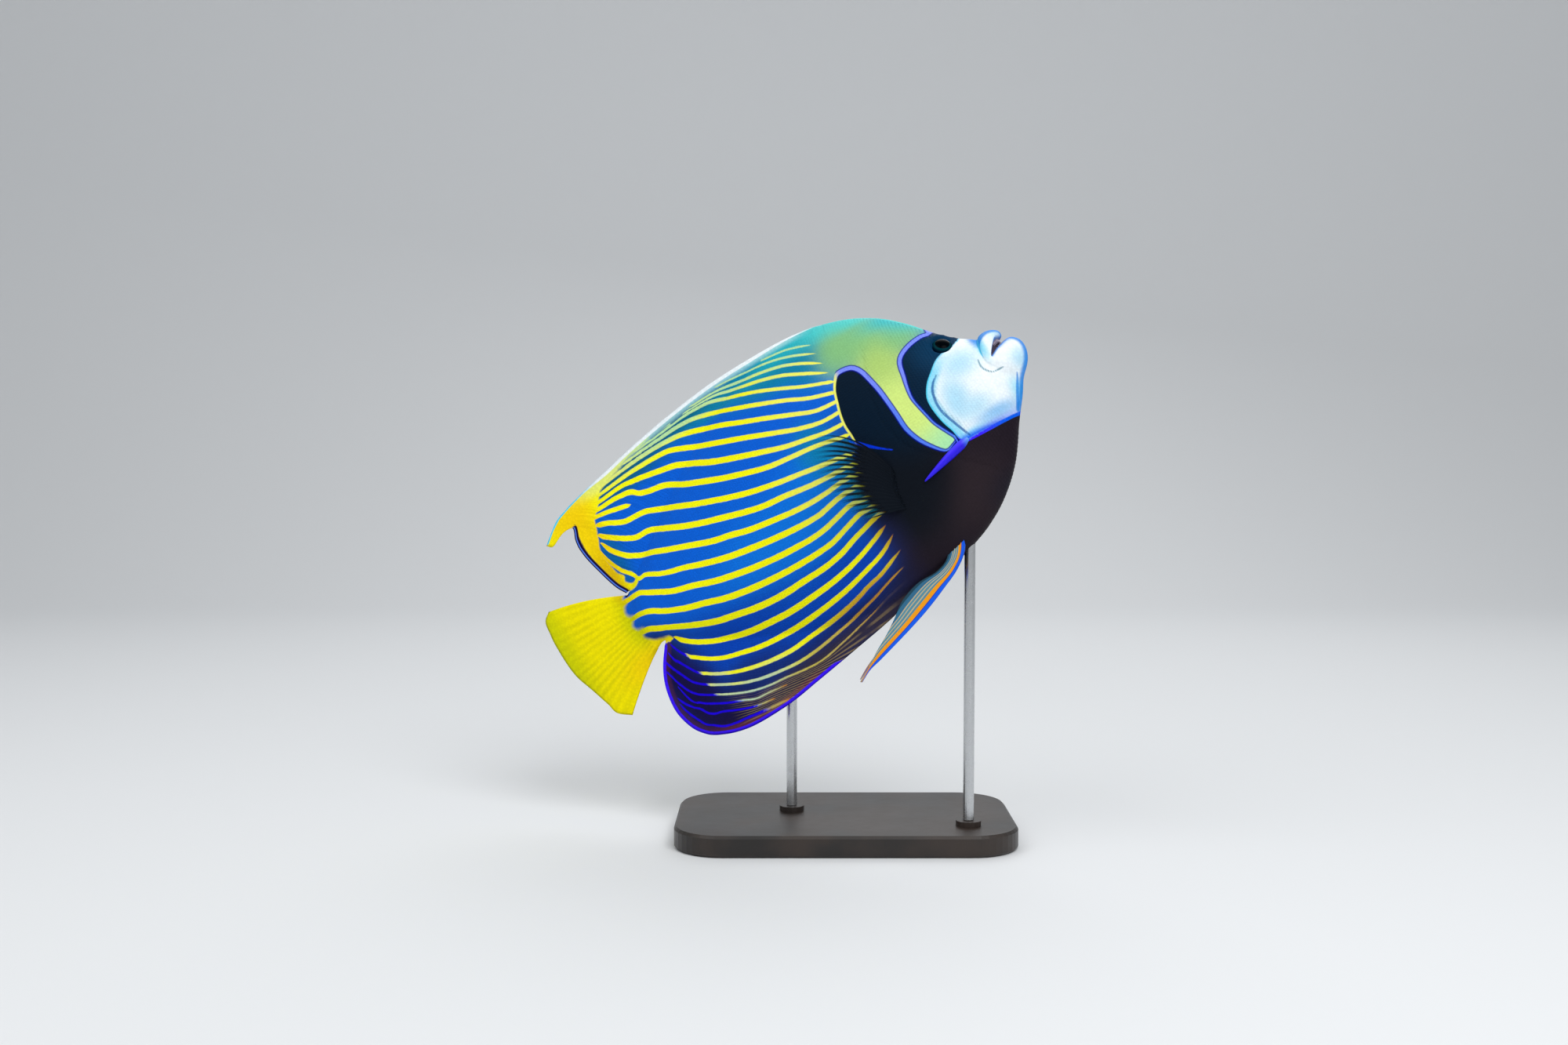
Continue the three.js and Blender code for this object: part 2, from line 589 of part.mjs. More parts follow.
let head = wholeHead.subtract(mouthSpace);
for (const side of [-1, 1]) {
  const name = side < 0 ? 'right' : 'left';
  const cover = largest(wholeHead.intersect(sideBlock(coverOutline, side)).subtract(innerBody));
  fish.add(meshOf(`gill_cover_${name}`, cover, finishes.gill));
  head = head.subtract(sideBlock(coverOutline, side, gillCover.cutGap).subtract(innerBodyClear));

  const normal = flankNormal(eye.s, eye.z, side);
  const eyeCentre = onFlank(eye.s, eye.z, side, eye.proud - eye.depth);
  const rimRadius = eye.radius + eyeRim.outside;
  const rim = new THREE.TorusGeometry(rimRadius, eyeRim.thick, eyeRim.sides, eyeRim.around);
  rim.applyQuaternion(new THREE.Quaternion().setFromUnitVectors(new THREE.Vector3(0, 0, 1), normal));
  const rimCentre = onFlank(eye.s, eye.z, side, -eyeRim.sunk);
  rim.translate(rimCentre.x, rimCentre.y, rimCentre.z);
  head = head.add(solidOf(rim));
  head = head.subtract(ball(eyeCentre, eye.radius + gap, eye.depth + gap, normal));
  fish.add(meshOf(`eye_${name}`, ball(eyeCentre, eye.radius, eye.depth, normal), finishes.eye));

  for (const pit of nostrils) {
    const pitNormal = flankNormal(pit.s, pit.z, side);
    const pitCentre = onFlank(pit.s, pit.z, side);
    head = head.subtract(ball(pitCentre, pit.radius, pit.radius * nostrilDepth, pitNormal, [8, 6]));
  }
  const groovePath = preopercleGroove.map(([s, z]) => onFlank(s, z, side, groove.lift));
  head = head.subtract(taperedRod(groovePath, groovePath.map(() => groove.radius), groove.sides));

  const spinePath = [];
  const spineRadii = [];
  for (let i = 0; i <= cheekSpine.steps; i += 1) {
    const t = i / cheekSpine.steps;
    const s = mix(cheekSpine.base[0], cheekSpine.tip[0], t);
    const z = mix(cheekSpine.base[1], cheekSpine.tip[1], t);
    spinePath.push(onFlank(s, z, side, mix(-cheekSpine.sunk, cheekSpine.rise, t)));
    spineRadii.push(mix(cheekSpine.radius, cheekSpine.tipRadius, t ** cheekSpine.taper));
  }
  const spine = largest(taperedRod(spinePath, spineRadii).subtract(bodyClear));
  fish.add(meshOf(`cheek_spine_${name}`, spine, finishes.spine));

  const pectoralSolid = largest(pectoralFin(side).subtract(bodyClear));
  fish.add(meshOf(`pectoral_fin_${name}`, pectoralSolid, finishes.clearFin));
  const pelvicSolid = largest(pelvicFin(side).subtract(bodyClear));
  fish.add(meshOf(`pelvic_fin_${name}`, pelvicSolid, finishes.pelvic));
}
fish.add(meshOf('head', largest(head), finishes.head));
fish.add(meshOf('torso', torso, finishes.flank));
fish.add(meshOf('tail_stem', tailStem, finishes.flank));

// Lips, parted at the corners of the open mouth, with small bristle teeth under the upper one
const upper = lipSolid(upperLip).subtract(mouthSpace).add(lipTeeth(upperLip));
const upperClear = lipSolid(upperLip, gap);
const lower = lipSolid(lowerLip).subtract(mouthSpace).subtract(upperClear);
fish.add(meshOf('upper_lip', largest(upper.subtract(bodyClear)), finishes.lips));
fish.add(meshOf('lower_lip', largest(lower.subtract(bodyClear)), finishes.lips));

// Fins on the midline
const backFin = medianFin(dorsal, backLine, 1).subtract(bodyClear);
const underFin = medianFin(anal, bellyLine, -1).subtract(bodyClear);
fish.add(meshOf('dorsal_fin', largest(backFin), finishes.dorsal));
fish.add(meshOf('anal_fin', largest(underFin), finishes.anal));
fish.add(meshOf('caudal_fin', largest(caudalFin().subtract(bodyClear)), finishes.tail));

// Stand: a flat base with two steel rods that end just under the skin's surface
const outline = new THREE.Shape();
const [halfLength, halfDepth] = [base.length / 2 - base.bevel, base.width / 2 - base.bevel];
const corner = base.corner;
outline.moveTo(-halfLength + corner, -halfDepth);
outline.lineTo(halfLength - corner, -halfDepth);
outline.absarc(halfLength - corner, -halfDepth + corner, corner, -Math.PI / 2, 0);
outline.absarc(halfLength - corner, halfDepth - corner, corner, 0, Math.PI / 2);
outline.absarc(-halfLength + corner, halfDepth - corner, corner, Math.PI / 2, Math.PI);
outline.absarc(-halfLength + corner, -halfDepth + corner, corner, Math.PI, 1.5 * Math.PI);
const slab = new THREE.ExtrudeGeometry(outline, {
  depth: base.height - 2 * base.bevel,
  bevelThickness: base.bevel,
  bevelSize: base.bevel,
  bevelSegments: 1,
  curveSegments: base.cornerSteps,
});
slab.translate(base.centre[0], base.centre[1], base.bevel);
let baseSolid = solidOf(slab);

function uprightCylinder(x, y, from, to, radius) {
  const geometry = new THREE.CylinderGeometry(radius, radius, to - from, rod.sides);
  geometry.rotateX(Math.PI / 2);
  geometry.translate(x, y, (from + to) / 2);
  return solidOf(geometry);
}

const bodyClearPosed = bodyClear.transform(fish.matrix.toArray());
const stand = new THREE.Group();
for (const [name, { s, y, z }] of Object.entries(rods)) {
  const top = point(s, y, z).applyMatrix4(fish.matrix);
  const foot = base.height + collar.height;
  const collarFrom = base.height - collar.sunk;
  baseSolid = baseSolid.add(uprightCylinder(top.x, top.y, collarFrom, foot, collar.radius));
  const whole = uprightCylinder(top.x, top.y, foot + gap, top.z, rod.radius);
  const [lowest] = whole.subtract(bodyClearPosed).decompose()
    .sort((a, b) => a.boundingBox().min[2] - b.boundingBox().min[2]);
  stand.add(meshOf(name, lowest, finishes.steel));
}
stand.add(meshOf('stand_base', baseSolid, finishes.base));

const model = new THREE.Group();
model.add(fish, stand);
model.updateMatrixWorld(true);

export default model;
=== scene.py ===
"""Looks of the emperor angelfish display model: skin, scales, fins, eyes, mouth and stand.

The fish is drawn in millimetres in a frame of its own, where s runs back from the front of the
lips, y to the fish's left and z up. Each finished mesh is then turned into the display pose, in
metres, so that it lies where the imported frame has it.
"""

import logging
import math
from collections.abc import Callable, Sequence
from dataclasses import dataclass
from enum import Enum

import bmesh
import bpy
import numpy as np
from bpy.types import Material, Mesh, Node, NodeSocket, NodeTree, Object
from mathutils import Matrix, Vector


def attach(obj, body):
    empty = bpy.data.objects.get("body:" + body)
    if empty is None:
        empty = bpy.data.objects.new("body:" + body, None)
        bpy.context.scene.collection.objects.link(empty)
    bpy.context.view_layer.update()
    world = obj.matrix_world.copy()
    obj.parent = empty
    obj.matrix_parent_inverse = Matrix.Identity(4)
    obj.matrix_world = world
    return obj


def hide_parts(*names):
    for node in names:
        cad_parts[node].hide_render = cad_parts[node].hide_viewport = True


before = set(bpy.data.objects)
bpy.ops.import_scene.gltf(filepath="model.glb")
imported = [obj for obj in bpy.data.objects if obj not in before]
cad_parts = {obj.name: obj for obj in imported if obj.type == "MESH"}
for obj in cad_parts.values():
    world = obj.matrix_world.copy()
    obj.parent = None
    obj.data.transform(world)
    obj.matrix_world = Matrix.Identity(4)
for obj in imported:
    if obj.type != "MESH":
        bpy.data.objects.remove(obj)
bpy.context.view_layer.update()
LOG = logging.getLogger("angelfish")
MM = 0.001

Knots = Sequence[Sequence[float]]
Array = np.ndarray
Triple = tuple[float, float, float]
BMesh = bmesh.types.BMesh

# (s, z) of the middle of the eye.
EYE_AT = (32.7, 21.5)
# Ray numbers of the tail fin start here, so that they differ from those of the other fins.
TAIL_FROM = 100
FULL_TURN = 2 * math.pi
# Half widths of the finest stripes, on the anal fin.
HAIR = (0.3, 0.45, 0.5)


class Tint(Enum):
    """Colours of the fish and its stand, as red, green and blue from 0 to 255."""

    STRIPE = (252, 250, 10)
    STRIPE_PALE = (240, 240, 110)
    STRIPE_AQUA = (168, 222, 176)
    STRIPE_TAN = (190, 124, 52)
    STRIPE_SAND = (170, 146, 96)
    STRIPE_ICE = (176, 206, 190)
    AZURE = (8, 96, 214)
    AZURE_LIGHT = (12, 122, 228)
    DEEP_BLUE = (6, 62, 176)
    MIDNIGHT = (22, 34, 92)
    TEAL = (10, 130, 160)
    TEAL_DARK = (10, 96, 118)
    TEAL_LIGHT = (34, 188, 198)
    AQUA = (76, 206, 200)
    FROST = (176, 228, 228)
    NAPE_GREEN = (132, 190, 120)
    NAPE_LEAF = (170, 204, 106)
    NAPE_LEMON = (212, 236, 124)
    NAPE_TIP = (166, 232, 176)
    PLUM = (32, 25, 34)
    PLUM_BROWN = (50, 40, 44)
    RUSSET = (104, 46, 62)
    COAL = (12, 18, 26)
    NAVY = (0, 23, 42)
    INDIGO = (0, 30, 54)
    # Teal of the eye's socket, used mostly as painted light on the mask round the eye.
    SOCKET = (0, 52, 86)
    NAVY_VIOLET = (22, 2, 46)
    TAIL = (246, 230, 0)
    TAIL_GREEN = (186, 198, 4)
    OLIVE = (160, 158, 6)
    OCHRE = (206, 160, 8)
    AMBER = (250, 206, 8)
    WHITE = (238, 246, 250)
    ICE = (150, 212, 240)
    CYAN = (84, 206, 240)
    SKY = (96, 176, 232)
    BRIGHT_BLUE = (0, 92, 236)
    COBALT = (0, 58, 244)
    INK_BLUE = (0, 12, 140)
    PERIWINKLE = (120, 138, 246)
    CORNFLOWER = (84, 126, 240)
    VIOLET = (60, 24, 250)
    VIOLET_DEEP = (28, 0, 222)
    # Painted shade in the cheek groove.
    CREASE = (8, 84, 160)
    LAKE = (0, 130, 222)
    IRIS = (0, 52, 60)
    PUPIL = (0, 3, 6)
    MOUTH = (156, 142, 164)
    TOOTH = (192, 180, 192)
    GUM = (150, 138, 158)
    SEA = (0, 146, 156)
    ORANGE = (244, 158, 8)
    SAND = (196, 178, 140)
    SLATE = (84, 140, 160)
    SLATE_BLUE = (46, 106, 140)
    FIN_DARK = (24, 66, 84)
    EBONY = (26, 22, 20)
    EBONY_GRAIN = (48, 38, 32)
    STEEL = (196, 198, 200)
    PAPER = (226, 228, 230)

    @property
    def linear(self) -> Array:
        """Linear red, green and blue from 0 to 1."""
        c = np.array(self.value, float) / 255
        return np.where(c <= 0.04045, c / 12.92, ((c + 0.055) / 1.055) ** 2.4)

    @property
    def rgba(self) -> tuple[float, float, float, float]:
        """Linear colour with an alpha of 1, for a socket."""
        r, g, b = (float(x) for x in self.linear)
        return r, g, b, 1.0


class Side(Enum):
    """Side of the fish, as the sign of y."""

    RIGHT = -1
    LEFT = 1

    @property
    def word(self) -> str:
        """Name used in node and piece names."""
        return self.name.lower()


def smooth(x: Array | float, low: float, high: float) -> Array:
    """Smooth step from 0 at low to 1 at high."""
    t = np.clip((np.asarray(x, float) - low) / (high - low), 0, 1)
    return t * t * (3 - 2 * t)


class Curve:
    """Smooth curve through rising knots, with slopes that follow the spacing of the knots."""

    def __init__(self, knots: Knots, extend: tuple[float, float] = (0, 0)) -> None:
        """Keeps the knots.

        Args:
            knots: rows of x and one or more values.
            extend: shares of the end slopes with which the curve runs on past its two ends.
        """
        self.knots = np.array(knots, float)
        x, y = self.knots[:, 0], self.knots[:, 1:]
        span = np.diff(x)
        rise = np.diff(y, axis=0) / span[:, None]
        weighed = rise[:-1] * span[1:, None] + rise[1:] * span[:-1, None]
        inner = weighed / (span[1:] + span[:-1])[:, None]
        self.slopes = np.vstack([rise[:1], inner, rise[-1:]])
        self.extend = extend

    def __call__(self, x: Array | float, column: int = 1) -> Array:
        """Value at x.

        Args:
            x: one place or an array of them.
            column: which value of the knots, from 1.

        Returns:
            The values, in the shape of x.
        """
        at = np.asarray(x, float)
        ends = self.knots[0, 0], self.knots[-1, 0]
        inside = np.clip(at, *ends)
        i = np.clip(np.searchsorted(self.knots[:, 0], inside, side="right") - 1, 0, len(self.knots) - 2)
        start, h = self.knots[i, 0], self.knots[i + 1, 0] - self.knots[i, 0]
        t = (inside - start) / h
        a, b = self.knots[i, column], self.knots[i + 1, column]
        da, db = self.slopes[i, column - 1] * h, self.slopes[i + 1, column - 1] * h
        value = (2 * t**3 - 3 * t**2 + 1) * a + (t**3 - 2 * t**2 + t) * da
        value = value + (3 * t**2 - 2 * t**3) * b + (t**3 - t**2) * db
        value = value + np.minimum(at - ends[0], 0) * self.slopes[0, column - 1] * self.extend[0]
        return value + np.maximum(at - ends[1], 0) * self.slopes[-1, column - 1] * self.extend[1]


@dataclass(frozen=True)
class Pose:
    """How the fish hangs over the stand: nose up, head to the viewer, belly banked outward."""

    pitch: float = 36
    yaw: float = 12
    roll: float = 16
    pivot: Triple = (-164, 0, -9)
    height: float = 175

    def matrix(self) -> Matrix:
        """Turn from the fish's millimetres, with x as minus s, to the row's metres.

        Returns:
            Matrix for points (-s, y, z).
        """
        turn = (
            Matrix.Rotation(-math.radians(self.pitch), 4, "Y")
            @ Matrix.Rotation(-math.radians(self.yaw), 4, "Z")
            @ Matrix.Rotation(-math.radians(self.roll), 4, "X")
        )
        lift = Matrix.Translation((0, 0, self.height))
        return Matrix.Scale(MM, 4) @ lift @ turn @ Matrix.Translation(-Vector(self.pivot))


@dataclass(frozen=True)
class Outline:
    """Edge of a marking as (s, z) knots.

    Each knot also has the width of the line along the edge or, below zero, the edge's blur.
    """

    knots: Knots
    closed: bool = True
    refine: int = 3

    def smoothed(self) -> Array:
        """The knots with rounded points between them, as rows of s, z and line width.

        Returns:
            The rows.
        """
        k = np.array(self.knots, float)
        if self.closed:
            before, after, far = np.roll(k, 1, 0), np.roll(k, -1, 0), np.roll(k, -2, 0)
        else:
            before = np.vstack([k[:1], k[:-1]])
            after = np.vstack([k[1:], k[-1:]])
            far = np.vstack([k[2:], k[-1:], k[-1:]])
        rows = []
        for j in range(self.refine):
            t = j / self.refine
            row = 0.5 * (2 * k + (after - before) * t + (2 * before - 5 * k + 4 * after - far) * t * t
                         + (3 * k - before - 3 * after + far) * t**3)
            row[:, 2:] = (k * (1 - t) + after * t)[:, 2:]
            rows.append(row)
        out = np.stack(rows, 1).reshape(-1, k.shape[1])
        return out if self.closed else np.vstack([out[: -self.refine], k[-1:]])

    def distance(self, s: Array, z: Array) -> tuple[Array, Array]:
        """Distance to the edge, below zero inside it, and the width of its line there.

        Args:
            s: distances back.
            z: heights.

        Returns:
            Signed distances and line widths, in millimetres.
        """
        line = self.smoothed()
        ends = np.roll(line, -1, 0) if self.closed else line[1:]
        best = np.full(s.shape, 1e9)
        width = np.zeros(s.shape)
        inside = np.zeros(s.shape, bool)
        for a, b in zip(line, ends):
            ds, dz = b[0] - a[0], b[1] - a[1]
            t = np.clip(((s - a[0]) * ds + (z - a[1]) * dz) / max(ds * ds + dz * dz, 1e-9), 0, 1)
            d = np.hypot(s - a[0] - t * ds, z - a[1] - t * dz)
            near = d < best
            best = np.where(near, d, best)
            if line.shape[1] > 2:
                width = np.where(near, a[2] + (b[2] - a[2]) * t, width)
            if a[1] != b[1]:
                crosses = (a[1] > z) != (b[1] > z)
                inside ^= crosses & (s < (b[0] - a[0]) * (z - a[1]) / (b[1] - a[1]) + a[0])
        return (np.where(inside, -best, best) if self.closed else best), width


@dataclass(frozen=True)
class Crease:
    """Painted line on the skin: mostly painted shade along a fold of the skin."""

    line: Outline
    tint: Tint


@dataclass(frozen=True)
class Stripe:
    """One stripe: its middle line as (s, z) from front to rear, and its half width along it."""

    path: Knots
    half: Triple = (1.1, 1.45, 1.2)
    start: float = 0.0
    taper: float = 3.0
    front: float = 3.0
    nape_front: float = 7.0
    nape_from: float = 40.0

    def half_at(self, s: Array) -> Array:
        """Half width at a distance back, falling to nothing past both ends.

        Args:
            s: distances back.

        Returns:
            Half widths, in millimetres.
        """
        first, last = max(self.path[0][0], self.start), self.path[-1][0]
        middle = (first + last) / 2
        width = Curve([[first, self.half[0]], [middle, self.half[1]], [last, self.half[2]]])(s)
        (before, low), (end, high) = self.path[-2:]
        short = (end - before) / math.hypot(end - before, high - low)
        rear = 1 - smooth(s, last - self.taper * short, last + short)
        front = self.front + self.nape_front * (self.path[0][1] > self.nape_from)
        return width * smooth(s, first - 0.5, first + front) * rear


@dataclass(frozen=True)
class Washes:
    """Colour that changes softly over the fish, from soft patches over a base.

    The patches of a tint are rows of s, z, length, height and strength.
    """

    base: Tint
    patches: dict[Tint, Knots]
    base_weight: float = 0.12

    def at(self, s: Array, z: Array) -> Array:
        """Linear colours at the given places, one row each.

        Args:
            s: distances back.
            z: heights.

        Returns:
            Rows of red, green and blue.
        """
        total = np.full(s.shape, self.base_weight)
        colour = np.outer(total, self.base.linear)
        for tint, rows in self.patches.items():
            for along, up, long, high, strength in rows:
                w = strength * np.exp(-(((s - along) / long) ** 2) - ((z - up) / high) ** 2)
                total = total + w
                colour = colour + np.outer(w, tint.linear)
        return colour / total[:, None]


# Lower edge of the face, shared by the face and the ear patch.
JAW_LINE = [[50.5, -31.9, 1.2], [44, -32.4, 1.8], [35.4, -32.8, 1.9], [30.6, -32.9, 1.7],
            [26, -32.9, 1.6], [21.6, -32.6, 1.5], [19.5, -32.3, 1.4]]


@dataclass(frozen=True)
class Markings:
    """All markings of the fish, at any (s, z) place on its side, with the stripes from the belly up."""

    stripes: tuple[Stripe, ...] = (
        Stripe([[215, -90.5], [229, -88.6], [243.8, -86], [252, -84.7], [258.5, -82.4], [263.2, -78.8],
                [267.4, -75.3], [270.5, -69], [273, -63], [274.5, -57]], HAIR),
        Stripe([[222, -86.2], [238, -82.6], [247.4, -78.5], [254.4, -75], [259.7, -73.2],
                [262.6, -70.6], [264.4, -67], [268, -63.5], [271, -60], [274, -53.5]], HAIR),
        Stripe([[212, -83.4], [226, -81], [233, -80], [240.3, -76.5], [248.5, -73], [255.6, -69],
                [262.6, -64], [268, -57.6], [270, -48]], HAIR),
        Stripe([[125, -74.4], [135, -75.3], [145, -76.9], [155, -78.5], [172, -81.3], [190, -83.2],
                [200, -82], [211, -79.8], [223, -77.9], [232, -75.3], [241.5, -71.2], [250, -66.5],
                [259, -61], [262.6, -58.2], [265.6, -54], [267.4, -50], [269, -46], [270.3, -41.2],
                [271.5, -37]], (0.3, 0.45, 0.45), front=40),
        Stripe([[113, -67.8], [120, -68.5], [130, -70.1], [140, -72], [150, -73.2], [170, -75.4],
                [190, -77], [200, -76.8], [215, -74.4], [225, -72], [235, -68.2], [245, -62.9],
                [253, -57.9], [258, -54], [261, -50.6], [263.2, -46], [266.8, -37.6], [269.5, -29]],
                (0.45, 0.7, 0.5), front=14),
        Stripe([[110, -59.4], [120, -62], [130, -64.6], [140, -65.6], [150, -67.4], [160, -68.4],
                [185, -68.6], [200, -68.9], [215, -66.8], [225, -64.3], [240, -58.5], [250, -52.5],
                [255.6, -47.6], [258, -43.5], [261.5, -37], [263.5, -33], [264.5, -28]],
                (0.75, 1.05, 0.6), front=12),
        Stripe([[109, -50.3], [120, -55.4], [135, -58.4], [150, -60.3], [170, -61.1], [185, -60.7],
                [200, -59.1], [215, -56.8], [225, -54], [240, -48.5], [250, -41.5], [255.5, -36.2],
                [258, -31.5], [260.5, -24.5]], (0.9, 1.25, 0.8), front=10),
        Stripe([[110, -44.8], [120, -47.6], [130, -50.1], [140, -51.8], [150, -52.7], [170, -52.8],
                [185, -52], [200, -49.8], [215, -46.8], [225, -43.5], [240, -37], [250, -30],
                [256, -23.5]], (1.0, 1.4, 1.1), front=8),
        Stripe([[104, -38], [113, -38.7], [120, -39.8], [130, -41.2], [140, -43.3], [150, -44.2],
                [170, -43.2], [185, -42.2], [200, -39.6], [215, -35.3], [225, -32.4], [240, -25.6],
                [250, -20.3], [258, -16.3], [265, -12], [274, -9.6]]),
        Stripe([[103, -34.5], [113, -33], [120, -32.5], [130, -34.2], [143, -36.2], [150, -36],
                [170, -34.2], [185, -31.8], [200, -28.6], [215, -24.4], [225, -20.3], [240, -14.7],
                [250, -9.7], [258, -4.4], [265, -1.9], [274, -0.5]]),
        Stripe([[103, -30], [115, -27], [120, -25.7], [130, -26.5], [140, -27.7], [150, -27.7],
                [160, -26.5], [170, -25], [185, -21.9], [200, -17.9], [215, -12.9], [225, -8.5],
                [240, -2.6], [250, 3.5], [257, 7.9], [265, 9], [274, 9.2]]),
        Stripe([[103, -23], [112, -19.5], [125, -18.6], [140, -19.8], [150, -18.6], [165, -15.9],
                [180, -12.4], [200, -6.8], [215, -1], [225, 3.4], [235, 7.1], [240, 9.4], [250, 15.3],
                [255.5, 16.6], [258.3, 21.6], [260.1, 24], [263.4, 28.7], [265.7, 34], [267.5, 39.9],
                [268.6, 45.8]], (1.1, 1.5, 0.9)),
        Stripe([[103, -16], [113, -13], [130, -12.4], [140, -11.5], [150, -9.8], [165, -6.1],
                [180, -2.1], [190, 1.8], [200, 5], [215, 12], [230, 19.2], [240, 24.6], [250, 29.4],
                [257, 35], [261.6, 41], [265.4, 48.5]]),
        Stripe([[103, -9.5], [113, -7.4], [125, -5.6], [135, -3.6], [150, 0.4], [165, 3.5], [180, 9.1],
                [190, 13.2], [200, 17.5], [215, 25], [225, 31.1], [235, 37], [245, 38.5], [250, 41.4],
                [255, 45], [260, 49.3], [265, 53.5]]),
        Stripe([[103, -3.5], [113, -0.8], [125, 2.3], [135, 5.2], [150, 9.4], [165, 14.6], [180, 20.9],
                [190, 25.9], [200, 31], [212, 37.9], [225, 45.3], [231, 48], [238, 49.2], [246, 50.6],
                [250, 52.8], [255, 56], [263, 59]]),
        Stripe([[101, 2], [118, 6.5], [150, 14.5], [165, 20.2], [180, 27], [200, 37.6], [212, 45.2],
                [225, 51], [236.5, 56.4], [240, 57.5], [245, 59.3], [250, 61], [255, 62.3], [263, 64]],
                (1.1, 1.1, 1.0), start=236.6, taper=1.6),
        Stripe([[99, 6.1], [106, 7.8], [112, 10], [120, 12.5], [135, 15.9], [150, 19.5], [165, 25.8],
                [180, 32.9], [190, 38.4], [200, 44.2], [212, 52.9], [225, 56.8], [229, 58.8],
                [232, 62], [240, 64.8], [256, 66], [263, 67]], (1.0, 1.5, 1.0)),
        Stripe([[98, 13.3], [110, 15], [120, 18], [135, 22.9], [150, 30.1], [165, 37.6], [180, 46],
                [190, 53], [200, 59.2], [213, 63.2], [225, 67], [235, 69], [250, 69.3], [261, 69.8]],
                (1.0, 1.5, 0.8)),
        Stripe([[96, 20], [110, 21.7], [120, 25.2], [135, 33], [150, 41.4], [165, 49.7], [180, 58.3],
                [190, 64.2], [200, 69.4], [208, 71], [225, 72.5], [250, 73], [258, 73.3]],
                (1.0, 1.4, 0.7)),
        Stripe([[94, 25.8], [110, 29.3], [120, 34.8], [135, 43.6], [150, 52.2], [165, 61.5],
                [180, 69.4], [190, 73.2], [200, 75], [225, 77], [252, 76.2]], (1.0, 1.35, 0.6)),
        Stripe([[93, 30.4], [110, 38.5], [120, 45], [135, 53.8], [150, 62.6], [165, 71.2], [180, 76.8],
                [190, 78.2], [200, 78.6], [215, 79.3], [230, 79.6]], (1.0, 1.15, 0.5)),
        Stripe([[91, 36.5], [110, 46.7], [120, 53.3], [135, 63], [150, 71.6], [165, 79], [175, 80.6],
                [200, 81.2], [220, 81.6]], (0.9, 0.95, 0.4)),
        Stripe([[90, 42], [95, 45.4], [100, 49], [107, 54], [114, 59], [126, 65.6], [140, 71.8],
                [150, 76.2], [157, 79], [168, 81], [182, 81.4]], (0.85, 0.95, 0.4)),
        Stripe([[90, 48.6], [96, 53.4], [103.6, 59.2], [112, 64.6], [123.6, 69.8], [137, 74.8],
                [147.5, 78.6], [157, 81.2], [167, 82.4], [177, 82.8]], (0.8, 0.85, 0.35)),
        Stripe([[91, 57], [95, 59.8], [105, 66.4], [118, 73.2], [130.5, 77.8], [140, 80.3],
                [149, 82.2], [158, 83.6]], (0.75, 0.65, 0.3)),
        Stripe([[91, 64], [93, 65.2], [101, 69.9], [108.5, 73.6], [117, 76.4], [126, 79]],
                (0.6, 0.5, 0.3)),
    )
    ground: Washes = Washes(Tint.AZURE, {
        Tint.AZURE_LIGHT: [[130, -5, 18, 16, 0.5], [165, -15, 40, 22, 0.7]],
        Tint.AZURE: [[175, 20, 34, 20, 0.8], [215, 35, 34, 22, 0.8], [235, 5, 28, 24, 0.8],
            [150, 50, 24, 10, 0.7]],
        Tint.DEEP_BLUE: [[205, -45, 34, 12, 0.7], [140, -52, 26, 10, 0.8], [170, -64, 40, 7, 0.7],
            [236, -42, 20, 14, 0.6]],
        Tint.MIDNIGHT: [[160, -74, 45, 5, 1.6], [225, -68, 20, 9, 1.2]],
        Tint.PLUM_BROWN: [[150, -82, 50, 5, 3.0], [205, -87, 30, 6, 3.0]],
        Tint.NAVY_VIOLET: [[262, -58, 11, 22, 4.0], [247, -82, 14, 10, 3.0], [268, -36, 7, 14, 3.0],
            [277, 45, 3, 20, 3.0]],
        Tint.TEAL: [[150, 76, 28, 5, 1.6], [120, 66, 20, 9, 1.6], [100, 62, 10, 12, 1.4],
            [122, 8, 9, 12, 1.0]],
        Tint.TEAL_LIGHT: [[112, 74, 22, 6, 2.0], [44, 46, 9, 6, 3.0], [56, 54, 12, 5, 2.0]],
        Tint.TEAL_DARK: [[200, 80, 34, 4, 2.0], [235, 74, 22, 7, 1.4], [262, 34, 6, 16, 0.6]],
        Tint.AQUA: [[88, 72, 14, 7, 3.0], [66, 66, 14, 5, 3.0]],
        Tint.NAPE_GREEN: [[84, 56, 9, 10, 3.0], [52, 40, 9, 7, 3.0], [70, 50, 11, 9, 4.0]],
        Tint.NAPE_LEAF: [[66, 30, 9, 13, 4.0]],
        Tint.NAPE_LEMON: [[68, 6, 9, 15, 4.0], [62, -16, 9, 12, 4.0]],
        Tint.NAPE_TIP: [[58, -29, 11, 10, 12.0]],
        Tint.PLUM: [[104, -36, 8, 26, 2.5], [100, -68, 16, 10, 3.0], [118, -74, 16, 6, 2.0],
            [112, -52, 8, 12, 1.2]],
        Tint.COAL: [[104, -24, 9, 16, 1.5]],
    })
